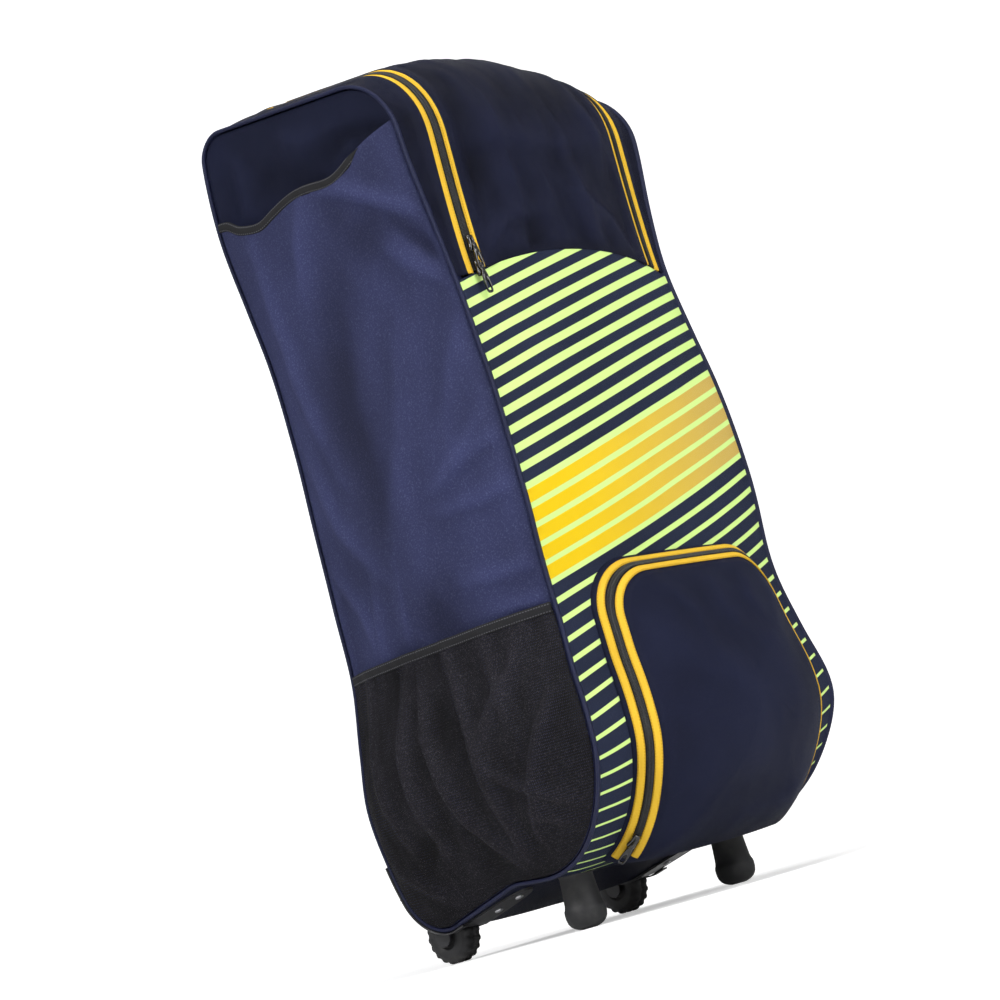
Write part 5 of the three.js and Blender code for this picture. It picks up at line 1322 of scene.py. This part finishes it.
def make_pocket(shape):
    rings = np.concatenate([np.linspace(1, 0.87, 8), np.linspace(0.855, 0.8, 7), np.linspace(0.77, 0, 26)])
    grid_share = np.repeat(rings[:, None], len(POCKET_RIM), axis=1)
    rim = np.broadcast_to(POCKET_RIM, (*grid_share.shape, 2))
    places, s, x = pocket_places(grid_share, rim)
    down = s - POCKET_MIDDLE
    flat = np.stack([x, down, np.zeros_like(x)], axis=-1)
    fade = 1 - smooth(0.72, POCKET_RIM_SHARE, grid_share)
    folds = noise_at(flat, 60, 5.2) * 2.2 + noise_at(flat, 20, 7.7) * 0.5
    folds = (folds + creases(POCKET_CREASES, x, down)) * fade * shape.fold_depth
    places = places + strip_normals(s, x) * folds[..., None]
    cover = cloth(
        "front_pocket_cloth", places, 1.6, np.stack([x, -down, folds], axis=-1), (0, -60, 220), True)
    dress(cover, material_for("pocket_cloth"), ["front_pocket"])

    first, last = pocket_zip_ends()
    path = POCKET_RIM[first:last]
    step = (POCKET_ZIP_TAPE + POCKET_ZIP_CHAIN) / 2 + 0.9
    outermost = POCKET_ZIP_START + POCKET_ZIP_TAPE / 2
    for word, out_by in (("outer", outermost), ("chain", outermost + step), ("inner", outermost + 2 * step)):
        places, outs = pocket_line(path, out_by)
        if word == "chain":
            base = sweep("pocket_zip_base", places, outs, flat_section(POCKET_ZIP_CHAIN + 2.4, -0.6, 0.5))
            dress(base, material_for("zip_base"), [])
            teeth = zip_teeth("pocket_zip_coils", places + outs * 0.6, outs, 0.8)
            dress(teeth, material_for("zip_chain"), ["pocket_zip_chain"])
        else:
            tape = sweep(f"pocket_zip_{word}_tape", places, outs, flat_section(POCKET_ZIP_TAPE, -0.6, 1.0, 0.4))
            dress(tape, material_for("zip_tape"), [f"pocket_zip_tape_{word}"])


def pocket_line(path, reach):
    """Places and outward directions of a line along the pocket's slanted side."""
    share = np.full(len(path), reach_share(reach))
    places, _, _ = pocket_places(share, path, 0.8)
    outer, _, _ = pocket_places(share + 0.01, path, 0.8)
    outs = unit(np.cross(np.gradient(places, axis=0), outer - places))
    return places, np.where(outs[:, 1:2] > 0, -outs, outs)


def pocket_zip_ends():
    s, x = POCKET_RIM.T
    above_foot = s < POCKET_LOW - POCKET_FOOT_RADIUS - 1
    left = np.argmax((x < 0) & above_foot)
    return int(left), len(POCKET_RIM)


# Sliders

def turned(places, place, out, along):
    """Places in a slider's own axes, turned and moved to where it sits."""
    aside = np.cross(along, out)
    places = np.asarray(places, float)
    return place + places[..., :1] * aside + places[..., 1:2] * along + places[..., 2:] * out


def ring_plate(name, outer, inner, low, thickness, bevel, put):
    """A plate between two outlines of as many points, with all its edges rounded."""
    share = bevel / np.linalg.norm(outer - inner, axis=-1, keepdims=True)
    inset = outer + (inner - outer) * share
    outset = inner + (outer - inner) * share
    high = low + thickness
    levels = (
        (inset, low), (outer, low + bevel), (outer, high - bevel), (inset, high),
        (outset, high), (inner, high - bevel), (inner, low + bevel), (outset, low),
    )
    rows = [np.column_stack([line, np.full(len(line), level)]) for line, level in levels]
    ring = np.stack([*rows, rows[0]])
    count = len(outer)
    faces = grid_faces(len(ring), count, True)
    faces = [[corner % (len(rows) * count) for corner in face] for face in faces]
    return make_object(name, put(np.concatenate(rows)), faces, np.zeros((len(rows) * count, 2)))


def stadium(half_start, half_end, start, end, count=32):
    """An outline with a narrow start and a wide round end, as points at even angles."""
    middle = (start + end) / 2
    angles = np.arange(count) * 2 * math.pi / count
    x, y = np.sin(angles), np.cos(angles)
    width = half_start + (half_end - half_start) * (y + 1) / 2
    power = 0.62
    return np.stack([
        np.sign(x) * np.abs(x) ** power * width,
        middle + np.sign(y) * np.abs(y) ** power * (end - start) / 2,
    ], axis=-1)


def make_slider(name, node, place, out, along):
    put = lambda places: turned(places, place, out, along)
    at = np.array((-8.5, -8.1, -6.5, -3.0, 0.0, 3.0, 6.0, 7.8, 8.5))
    half = np.array((2.0, 3.0, 3.6, 3.5, 3.3, 3.9, 4.5, 4.3, 3.4))
    high = np.array((3.2, 4.2, 4.8, 5.0, 5.0, 5.0, 4.9, 4.5, 3.4))
    angles = np.arange(14) * 2 * math.pi / 14
    x = np.sign(np.cos(angles)) * np.abs(np.cos(angles)) ** 0.5
    z = np.sign(np.sin(angles)) * np.abs(np.sin(angles)) ** 0.6
    rows = [
        np.column_stack([x * w, np.full(14, y), 2.5 + z * (h - 2.5)]) for y, w, h in zip(at, half, high)
    ]
    faces = grid_faces(len(rows), 14, True)
    faces += [list(range(14)), list(range(len(rows) * 14 - 14, len(rows) * 14))[::-1]]
    body = make_object(f"{name}_slider_body", put(np.concatenate(rows)), faces, np.zeros((len(rows) * 14, 2)))

    angles = np.linspace(0, math.pi, 14)
    arch = np.column_stack([np.zeros(14), -5.2 * np.cos(angles), 4.4 + 3.4 * np.sin(angles)])
    outs = np.column_stack([np.ones(14), np.zeros(14), np.zeros(14)])
    bridge = sweep(f"{name}_bridge", put(arch), put(outs) - place, round_section(0.9, 8))
    dress(join(f"{name}_slider_body", [body, bridge]), material_for("slider"), [f"{node}_slider"])

    outer = stadium(2.6, 4.5, 4.0, 29.0)
    inner = stadium(1.2, 2.6, 15.0, 26.4)
    inner_link = stadium(0.9, 1.3, 5.4, 9.6)
    pull = ring_plate(f"{name}_pull_tab", outer, inner, 5.9, 2.6, 0.7, put)
    link_outer = stadium(2.2, 2.4, 0.6, 10.8)
    link = ring_plate(f"{name}_pull_link", link_outer, inner_link, 6.1, 2.0, 0.6, put)
    dress(join(f"{name}_pull_tab", [pull, link]), material_for("slider"), [f"{node}_pull"])


def make_sliders():
    for name, node, back in (("upper", "main_zip_upper", SLIDER_SPACING), ("lower", "main_zip_lower", 0)):
        s, x = HEM - SLIDER_LENGTH / 2 - back, -MAIN_ZIP_HALF
        out = strip_normals(s, x)
        along = unit(strip(s + 2, x) - strip(s - 2, x))
        make_slider(f"main_{name}", node, strip(s, x) + out * 1.5, out, along)
    low, high = (np.array(corner) / MM - (0, SHIFT, 0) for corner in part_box("pocket_zip_slider"))
    place = (low + high) / 2
    first, _ = pocket_zip_ends()
    reach = POCKET_ZIP_START + POCKET_ZIP_TAPE * 1.5 + 0.9
    line, outs = pocket_line(POCKET_RIM[first:first + 3], reach)
    make_slider("pocket", "pocket_zip", place - outs[0] * 2.5, outs[0], unit(line[0] - line[2]))


# Running gear

def revolve(name, rows, count, put, lobes=0, depth=0.0, closed=False):
    """A profile of (along, radius, lobed) rows turned about an axis."""
    angles = np.arange(count) * 2 * math.pi / count
    wave = 0.5 - 0.5 * np.tanh(3 * np.cos(angles * lobes)) / math.tanh(3) if lobes else np.zeros(count)
    places = []
    for along, radius, lobed in rows:
        reach = radius - depth * lobed * wave
        places.append(np.column_stack([np.full(count, along), reach * np.cos(angles), reach * np.sin(angles)]))
    size = len(rows)
    if closed:
        faces = grid_faces(size + 1, count, True, True)
        faces = [[corner % (size * count) for corner in face] for face in faces]
    else:
        faces = grid_faces(size, count, True, True)
        faces += [list(range(count)), list(range((size - 1) * count, size * count))[::-1]]
    return make_object(name, put(np.concatenate(places)), faces, np.zeros((size * count, 2)))


WHEEL_PROFILE = (
    # along the axle, radius, and 1 where the tread's knobs show
    (-9.5, 3.4, 0), (-9.6, 12.0, 0), (-10.2, 12.7, 0), (-12.1, 13.2, 0), (-12.5, 14.0, 0),
    (-12.5, 21.5, 0), (-12.2, 22.6, 0), (-11.6, 23.6, 0.3), (-10.9, 26.8, 0.8), (-9.8, 28.2, 1),
    (-7.5, 28.9, 1), (-1.6, 29.0, 1), (-0.9, 27.9, 0.6), (0.9, 27.9, 0.6), (1.6, 29.0, 1), (7.5, 28.9, 1),
    (9.8, 28.2, 1), (10.9, 26.8, 0.8), (11.6, 23.6, 0.3), (12.2, 22.6, 0), (12.5, 21.5, 0),
    (12.5, 14.0, 0), (12.1, 13.2, 0), (10.2, 12.7, 0), (9.6, 12.0, 0), (9.5, 3.4, 0),
)


def make_wheels():
    for word, side in SIDES:
        middle = np.array((side * WHEEL_TRACK / 2, AXLE_Y, WHEEL_RADIUS))
        put = lambda places: places + middle
        tyre = revolve(f"wheel_tyre_{word}", WHEEL_PROFILE, 144, put, 18, 1.6, closed=True)
        dress(tyre, material_for("rubber"), [f"wheel_{word}"], f"wheel_{word}")
        for node, finish in ((f"wheel_housing_{word}", "black_plastic"), (f"axle_{word}", "steel")):
            keep_node(node, finish)
        for i, reach in enumerate(RIVET_REACH):
            s = base_station(REAR_LINE - reach)
            x = side * WHEEL_TRACK / 2
            out = strip_normals(s, x)
            along = unit(strip(s + 2, x) - strip(s - 2, x))
            place = strip(s, x, 0.6 + PLATE_THICKNESS)
            put_rivet = lambda places: place + places[:, :1] * out + places[:, 1:2] * along + places[:, 2:] * np.cross(out, along)
            rows = ((0.0, 4.5, 0), (0.5, 4.45, 0), (1.0, 4.1, 0), (1.4, 3.2, 0), (1.7, 1.9, 0), (1.8, 0.5, 0))
            rivet = revolve(f"rivet_head_{word}_{i + 1}", rows, 24, put_rivet)
            dress(rivet, material_for("steel"), [f"rivet_{word}_{i + 1}"])


def keep_node(node, finish):
    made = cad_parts[node]
    made.data.materials.clear()
    made.data.materials.append(material_for(finish))


FOOT_PROFILE = (
    # height and radius
    (0.0, 7.6), (0.25, 8.6), (1.0, 11.2), (2.6, 14.6), (5.0, 17.6), (8.5, 19.8), (13.0, 20.8), (18.0, 21.0),
    (21.0, 20.6), (23.0, 19.6), (26.0, 18.8), (38.0, 17.8), (52.0, 17.0), (56.0, 17.6), (60.0, 18.8), (66.0, 20.4),
)


def make_feet():
    for word, side in SIDES:
        middle = np.array((side * FOOT_SPACING / 2, -FOOT_FORWARD, 0.0))

        def put(places):
            places = np.column_stack([places[:, 1], places[:, 2], places[:, 0]]) + middle
            stations = np.array([base_station(y) for y in places[:, 1]])
            ceiling = strip(stations, places[:, 0])[:, 2] - 0.4
            places[:, 2] = np.minimum(places[:, 2], ceiling)
            return places

        foot = revolve(f"rubber_foot_{word}", [(z, r, 0) for z, r in FOOT_PROFILE], 48, put)
        dress(foot, material_for("rubber"), [f"foot_{word}"])


def make_guards():
    start = base_station(REAR_LINE - GUARD_REACH)
    end = OUTLINE.length + back_station(GUARD_TOP)
    s = np.linspace(start, end, 60)
    y, z, ny, nz, half = OUTLINE.at(s)
    for word, side in SIDES:
        places = np.column_stack([side * (half - GUARD_WIDTH / 2 + 2.4), y, z])
        outs = np.column_stack([np.zeros(60), ny, nz])
        section = [(-4, 3.0), (-4, 4.1), (-3.4, 4.6), (3.4, 4.6), (4, 4.1), (4, 3.0)]
        guard = sweep(f"corner_strip_{word}", places, outs, section)
        dress(guard, material_for("black_plastic"), [f"corner_guard_{word}"])


# Straps

def back_line(path, lifts):
    """Places and outward directions on the back for (x, z) points."""
    path = np.asarray(path, float)
    s = np.array([back_station(z) for z in path[:, 1]])
    outs = strip_normals(s, path[:, 0])
    return strip(s, path[:, 0]) + outs * np.asarray(lifts, float)[:, None], outs


def pad_section(share):
    """A strap's section: a thick quilted middle with thin bound edges, thinning at both ends."""
    full = smooth(0, 0.07, share) * (1 - smooth(0.9, 1, share))
    half = STRAP_WIDTH / 2 * (1 - 0.42 * smooth(0.86, 1, share))
    xs = np.sin(np.linspace(-1, 1, 25) * math.pi / 2)
    puff = np.clip(1 - (np.abs(xs) / 0.9) ** 4, 0, 1) ** 0.5
    channel = 1 - 0.22 * np.exp(-(((np.abs(xs) - 0.52) / 0.05) ** 2))
    top = 2.6 + (STRAP_THICKNESS - 3.2) * (0.25 + 0.75 * full) * puff * channel
    section = [(x * half, h) for x, h in zip(xs, top)]
    return np.array([*section, (half, 0.6), (half * 0.5, 0.4), (-half * 0.5, 0.4), (-half, 0.6)])


def make_straps():
    for word, side in SIDES:
        share = np.linspace(0, 1, 90)
        spread = STRAP_SPREAD[0] + (STRAP_SPREAD[1] - STRAP_SPREAD[0]) * share**1.6
        path = np.column_stack([side * spread, STRAP_TOP + (STRAP_BOTTOM - STRAP_TOP) * share])
        slack = noise_at(np.column_stack([share * 400, np.full(90, side * 9.0), np.zeros(90)]), 60, 1.7) * 1.2
        places, outs = back_line(path, 4 * np.sin(math.pi * share) + slack * np.sin(math.pi * share))
        strap = sweep(f"padded_strap_{word}", places, outs, np.array([pad_section(t) for t in share]))
        dress(strap, material_for("pocket_cloth"), [f"shoulder_strap_{word}"])

        tab_x = side * (half_width(TAB_HEIGHT) - SEAM_INSET - TAB_WIDTH / 2 - 4)
        share = np.linspace(0, 1, 40)
        low = STRAP_BOTTOM + WEBBING_TUCK
        end = TAB_HEIGHT + TAB_SIZE / 2 - WEBBING_TUCK
        path = np.column_stack([
            side * STRAP_SPREAD[1] + (tab_x - side * STRAP_SPREAD[1]) * share, low + (end - low) * share])
        places, outs = back_line(path, 1.2 * np.sin(math.pi * share * 2.5) ** 2)
        webbing = sweep(f"strap_web_{word}", places, outs, flat_section(WEBBING_WIDTH, 0.3, 2.1))
        dress(webbing, material_for("webbing"), [f"strap_webbing_{word}"])

        share = np.linspace(0, 1, 24)
        path = np.column_stack([np.full(24, tab_x), TAB_HEIGHT + TAB_SIZE / 2 - TAB_SIZE * share])
        places, outs = back_line(path, np.interp(share, (0, 0.5, 1), (0, 5, 8)))
        tab = sweep(f"strap_anchor_{word}", places, outs, flat_section(TAB_WIDTH, 0.3, 3.0, 0.8, 8))
        dress(tab, material_for("pocket_cloth"), [f"strap_tab_{word}"])

        path = np.column_stack([np.full(60, tab_x), np.linspace(TAB_HEIGHT - TAB_SIZE / 2 - 1, TAIL_BOTTOM, 60)])
        share = np.linspace(0, 1, 60)
        places, outs = back_line(path, 8 - 3 * share + 1.5 * np.sin(share * 7) * share)
        tail = sweep(f"web_tail_{word}", places, outs, flat_section(WEBBING_WIDTH, 0.3, 2.1))
        dress(tail, material_for("webbing"), [f"webbing_tail_{word}"])


# Stage

def aim(made, place, target, roll=0.0):
    """Turns an object at a place towards a target, in the bag's millimetres."""
    place, target = Vector(to_frame(place)), Vector(to_frame(target))
    turn = (place - target).to_track_quat("Z", "Y").to_matrix().to_4x4()
    made.matrix_world = Matrix.Translation(place) @ turn @ Matrix.Rotation(math.radians(roll), 4, "Z")


def camera_axes():
    angle, rise, roll = (math.radians(v) for v in (-CAMERA_AZIMUTH, CAMERA_ELEVATION, CAMERA_ROLL))
    back = Vector((-math.sin(angle) * math.cos(rise), -math.cos(angle) * math.cos(rise), math.sin(rise)))
    right = Vector((math.cos(angle), -math.sin(angle), 0))
    up = back.cross(right)
    turned_right = right * math.cos(roll) + up * math.sin(roll)
    turned_up = up * math.cos(roll) - right * math.sin(roll)
    return turned_right, turned_up, back


def make_stage(stage):
    scene = bpy.context.scene
    scene.view_settings.view_transform = "Standard"
    scene.view_settings.look = "None"

    camera = bpy.data.objects.new("camera", bpy.data.cameras.new("camera"))
    right, up, back = camera_axes()
    turn = Matrix((right, up, back)).transposed().to_4x4()
    place = Vector(to_frame(CAMERA_TARGET)) + back * CAMERA_DISTANCE * MM
    camera.matrix_world = Matrix.Translation(place) @ turn
    camera.data.lens = CAMERA_LENS
    camera.data.sensor_width = 36
    camera.data.clip_end = 200
    scene.collection.objects.link(camera)
    scene.camera = camera

    world = bpy.data.worlds.new("studio")
    scene.world = world
    world.use_nodes = True
    background = world.node_tree.nodes["Background"]
    background.inputs["Color"].default_value = (1, 1, 1, 1)
    strength = calc(world.node_tree, "MULTIPLY", seen_share(world.node_tree, stage.spill), stage.room_glow)
    world.node_tree.links.new(strength, background.inputs["Strength"])

    # A flat round floor that bends up into a wall all round, with no edge in any view
    bend = np.linspace(0, math.pi / 2, 24)
    reach = np.concatenate([[0.001, 1, 2, 4], 6 + 5 * np.sin(bend), [11]]) * 1000
    rise = np.concatenate([[0, 0, 0, 0], 5 - 5 * np.cos(bend), [24]]) * 1000
    turn = np.linspace(0, 2 * math.pi, 97)[:-1]
    rings = np.stack([reach[:, None] * np.cos(turn), reach[:, None] * np.sin(turn), rise[:, None] + 0 * turn], axis=-1)
    places = rings - (0, SHIFT, 0)
    bowl = make_object("floor", places.reshape(-1, 3), grid_faces(len(rings), len(turn), True))
    bowl.data.materials.append(floor_material(stage))

    for name, place, size, power in (
        ("key_light", (-2900, 300, 2500), 1.2, stage.key_power),
        ("front_light", (-300, -3100, 1500), 1.4, stage.front_power),
        ("top_light", (-300, -900, 3200), 1.8, stage.top_power),
    ):
        light = bpy.data.lights.new(name, "AREA")
        light.shape = "DISK"
        light.size = size
        light.energy = power
        made = bpy.data.objects.new(name, light)
        scene.collection.objects.link(made)
        aim(made, place, (0, 0, 480))


def seen_share(tree, spill):
    """1 where the camera looks, and the spill that reaches the bag elsewhere."""
    seen = tree.nodes.new("ShaderNodeLightPath").outputs["Is Camera Ray"]
    return calc(tree, "MULTIPLY_ADD", seen, 1 - spill, spill)


def floor_material(stage):
    material, tree, shader, place, _ = start_material("pale_floor")
    cloudy = wire(tree, "ShaderNodeTexNoise", {"Vector": place, "Scale": 0.8, "Detail": 3.0})
    shade = ramp(tree, cloudy.outputs[0], 0.3, 0.7, 0.985, 1.0)
    grey = wire(tree, "ShaderNodeCombineColor", {0: shade, 1: shade, 2: shade}).outputs[0]
    colour = blend_colours(tree, 1.0, rgba(stage.floor), grey, "MULTIPLY")
    tree.links.new(colour, shader.inputs["Base Color"])
    distance = wire(tree, "ShaderNodeVectorMath", {0: place}, operation="LENGTH").outputs["Value"]
    glow = ramp(tree, distance, 0.8, 3.2, stage.floor_glow, stage.backdrop_glow)
    glow = calc(tree, "MULTIPLY", glow, seen_share(tree, stage.spill))
    lit = wire(tree, "ShaderNodeCombineColor", {0: glow, 1: glow, 2: glow}).outputs[0]
    tree.links.new(lit, shader.inputs["Emission Color"])
    set_shader(shader, Roughness=0.85, Specular_IOR_Level=0.1, Emission_Strength=1.0)
    return material


# Add-on

def colour_property(name, description, default):
    return bpy.props.FloatVectorProperty(
        name=name, description=description, default=default, subtype="COLOR", size=3, min=0, max=1)


class KitBagColours(bpy.types.PropertyGroup):
    side: colour_property("Side", "Woven cloth of the sides and back", (0.0235, 0.0275, 0.076))
    side_fleck: colour_property("Side Fleck", "Pale threads of the side cloth", (0.085, 0.095, 0.19))
    satin: colour_property("Satin", "Thin shiny cloth of the lid", (0.0058, 0.0068, 0.018))
    satin_fleck: colour_property("Satin Fleck", "Pale threads of the shiny cloth", (0.024, 0.028, 0.06))
    # The pocket colour is also painted shade on the side walls above the sleeves' mouths.
    pocket: colour_property("Pocket", "Cloth of the front pocket and base", (0.0095, 0.0115, 0.029))
    ground: colour_property("Ground", "Dark cloth between the stripes", (0.015, 0.02, 0.043))
    ground_fleck: colour_property("Ground Fleck", "Pale threads between the stripes", (0.03, 0.04, 0.075))
    lime: colour_property("Stripe", "Bright printed stripes", (0.62, 0.85, 0.27))
    block: colour_property("Block", "Printed block between the stripes", (0.8, 0.54, 0.006))
    # The block's far-end colour is a painted reflection: the washed-out colour that the block fades to at its far end.
    block_glare: colour_property("Block Glare", "Far end of the printed block", (0.57, 0.4, 0.1))
    net: colour_property("Net", "Knitted mesh of the side pockets", (0.0075, 0.007, 0.0095))
    elastic: colour_property("Elastic", "Edging of the side pockets", (0.014, 0.014, 0.016))
    webbing: colour_property("Webbing", "Webbing of the straps", (0.009, 0.009, 0.011))
    piping: colour_property("Piping", "Cord round the sides", (0.013, 0.016, 0.048))
    tape: colour_property("Zip Tape", "Woven tapes of the zips", (0.82, 0.5, 0.035))
    tape_stitch: colour_property("Tape Stitches", "Stitches along the tapes", (0.68, 0.38, 0.02))


class KitBagCloth(bpy.types.PropertyGroup):
    fold_depth: bpy.props.FloatProperty(
        name="Fold Depth", description="Depth of all folds, as a share of their measured depth",
        default=1.0, min=0.0, max=1.5, subtype="FACTOR")


class KitBagStage(bpy.types.PropertyGroup):
    floor: colour_property("Floor", "Colour of the floor", (0.86, 0.86, 0.86))
    floor_glow: bpy.props.FloatProperty(
        name="Floor Glow", description="Light from the floor itself", default=0.45, min=0, max=5)
    backdrop_glow: bpy.props.FloatProperty(
        name="Backdrop Glow", description="Light from the wall behind", default=0.95, min=0, max=5)
    room_glow: bpy.props.FloatProperty(
        name="Room Glow", description="Brightness of the room around", default=0.92, min=0, max=5)
    spill: bpy.props.FloatProperty(
        name="Spill", description="Share of the room's and wall's light that falls on the bag",
        default=0.07, min=0, max=1, subtype="FACTOR")
    key_power: bpy.props.FloatProperty(
        name="Key Power", description="Large light on the side", default=84, min=0, unit="POWER")
    front_power: bpy.props.FloatProperty(
        name="Front Power", description="Large light on the striped front", default=60, min=0, unit="POWER")
    top_power: bpy.props.FloatProperty(
        name="Top Power", description="Large light overhead", default=46, min=0, unit="POWER")


class KITBAG_OT_stage(bpy.types.Operator):
    """Set the camera, floor and lights"""
    bl_idname = "kit_bag.stage"
    bl_label = "Stage"

    def execute(self, context):
        make_stage(context.scene.kit_bag_stage)
        return {"FINISHED"}


class KITBAG_OT_sides(bpy.types.Operator):
    """Make the side walls, bat sleeves, mouth bindings and piping"""
    bl_idname = "kit_bag.sides"
    bl_label = "Sides"

    def execute(self, context):
        make_sides(context.scene.kit_bag_cloth)
        return {"FINISHED"}


class KITBAG_OT_mesh_pockets(bpy.types.Operator):
    """Make the mesh pockets and their elastic bands"""
    bl_idname = "kit_bag.mesh_pockets"
    bl_label = "Mesh Pockets"

    def execute(self, context):
        make_mesh_pockets(context.scene.kit_bag_cloth)
        return {"FINISHED"}


class KITBAG_OT_lid(bpy.types.Operator):
    """Make the lid and the cloth around it"""
    bl_idname = "kit_bag.lid"
    bl_label = "Lid"

    def execute(self, context):
        make_lid(context.scene.kit_bag_cloth)
        return {"FINISHED"}


class KITBAG_OT_panels(bpy.types.Operator):
    """Make the striped front, the back and the base"""
    bl_idname = "kit_bag.panels"
    bl_label = "Panels"

    def execute(self, context):
        make_panels(context.scene.kit_bag_cloth)
        return {"FINISHED"}


class KITBAG_OT_main_zip(bpy.types.Operator):
    """Make the lid's zip"""
    bl_idname = "kit_bag.main_zip"
    bl_label = "Main Zip"

    def execute(self, context):
        make_main_zip(context.scene.kit_bag_cloth)
        return {"FINISHED"}


class KITBAG_OT_pocket(bpy.types.Operator):
    """Make the front pocket and its zip"""
    bl_idname = "kit_bag.pocket"
    bl_label = "Front Pocket"

    def execute(self, context):
        make_pocket(context.scene.kit_bag_cloth)
        return {"FINISHED"}


class KITBAG_OT_sliders(bpy.types.Operator):
    """Make the zip sliders and their pulls"""
    bl_idname = "kit_bag.sliders"
    bl_label = "Sliders"

    def execute(self, context):
        make_sliders()
        return {"FINISHED"}


class KITBAG_OT_wheels(bpy.types.Operator):
    """Make the wheels and rivets, and finish the housings and axles"""
    bl_idname = "kit_bag.wheels"
    bl_label = "Wheels"

    def execute(self, context):
        make_wheels()
        return {"FINISHED"}


class KITBAG_OT_feet(bpy.types.Operator):
    """Make the rubber feet and the strips round the rear corners"""
    bl_idname = "kit_bag.feet"
    bl_label = "Feet and Guards"

    def execute(self, context):
        make_feet()
        make_guards()
        return {"FINISHED"}


class KITBAG_OT_straps(bpy.types.Operator):
    """Make the padded straps with their webbing, anchors and tails"""
    bl_idname = "kit_bag.straps"
    bl_label = "Straps"

    def execute(self, context):
        make_straps()
        return {"FINISHED"}


OPERATORS = (
    KITBAG_OT_stage, KITBAG_OT_sides, KITBAG_OT_mesh_pockets, KITBAG_OT_lid, KITBAG_OT_panels,
    KITBAG_OT_main_zip, KITBAG_OT_pocket, KITBAG_OT_sliders, KITBAG_OT_wheels, KITBAG_OT_feet,
    KITBAG_OT_straps,
)
GROUPS_OF_SETTINGS = (
    ("kit_bag_colours", KitBagColours), ("kit_bag_cloth", KitBagCloth), ("kit_bag_stage", KitBagStage),
)


class KITBAG_PT_pieces(bpy.types.Panel):
    """Lists the bag's pieces and settings"""
    bl_idname = "KITBAG_PT_pieces"
    bl_label = "Kit Bag"
    bl_space_type = "VIEW_3D"
    bl_region_type = "UI"
    bl_category = "Kit Bag"

    def draw(self, context):
        for name, kind in GROUPS_OF_SETTINGS:
            settings = getattr(context.scene, name)
            for key in kind.__annotations__:
                self.layout.prop(settings, key)
        for operator in OPERATORS:
            self.layout.operator(operator.bl_idname)


def register():
    for _, kind in GROUPS_OF_SETTINGS:
        bpy.utils.register_class(kind)
    for kind in (*OPERATORS, KITBAG_PT_pieces):
        bpy.utils.register_class(kind)
    for name, kind in GROUPS_OF_SETTINGS:
        setattr(bpy.types.Scene, name, bpy.props.PointerProperty(type=kind))


def unregister():
    for name, _ in GROUPS_OF_SETTINGS:
        delattr(bpy.types.Scene, name)
    for kind in (KITBAG_PT_pieces, *reversed(OPERATORS)):
        bpy.utils.unregister_class(kind)
    for _, kind in reversed(GROUPS_OF_SETTINGS):
        bpy.utils.unregister_class(kind)


def main():
    register()
    bpy.ops.kit_bag.stage()
    bpy.ops.kit_bag.sides()
    bpy.ops.kit_bag.mesh_pockets()
    bpy.ops.kit_bag.lid()
    bpy.ops.kit_bag.panels()
    bpy.ops.kit_bag.main_zip()
    bpy.ops.kit_bag.pocket()
    bpy.ops.kit_bag.sliders()
    bpy.ops.kit_bag.wheels()
    bpy.ops.kit_bag.feet()
    bpy.ops.kit_bag.straps()


if __name__ == "__main__":
    main()
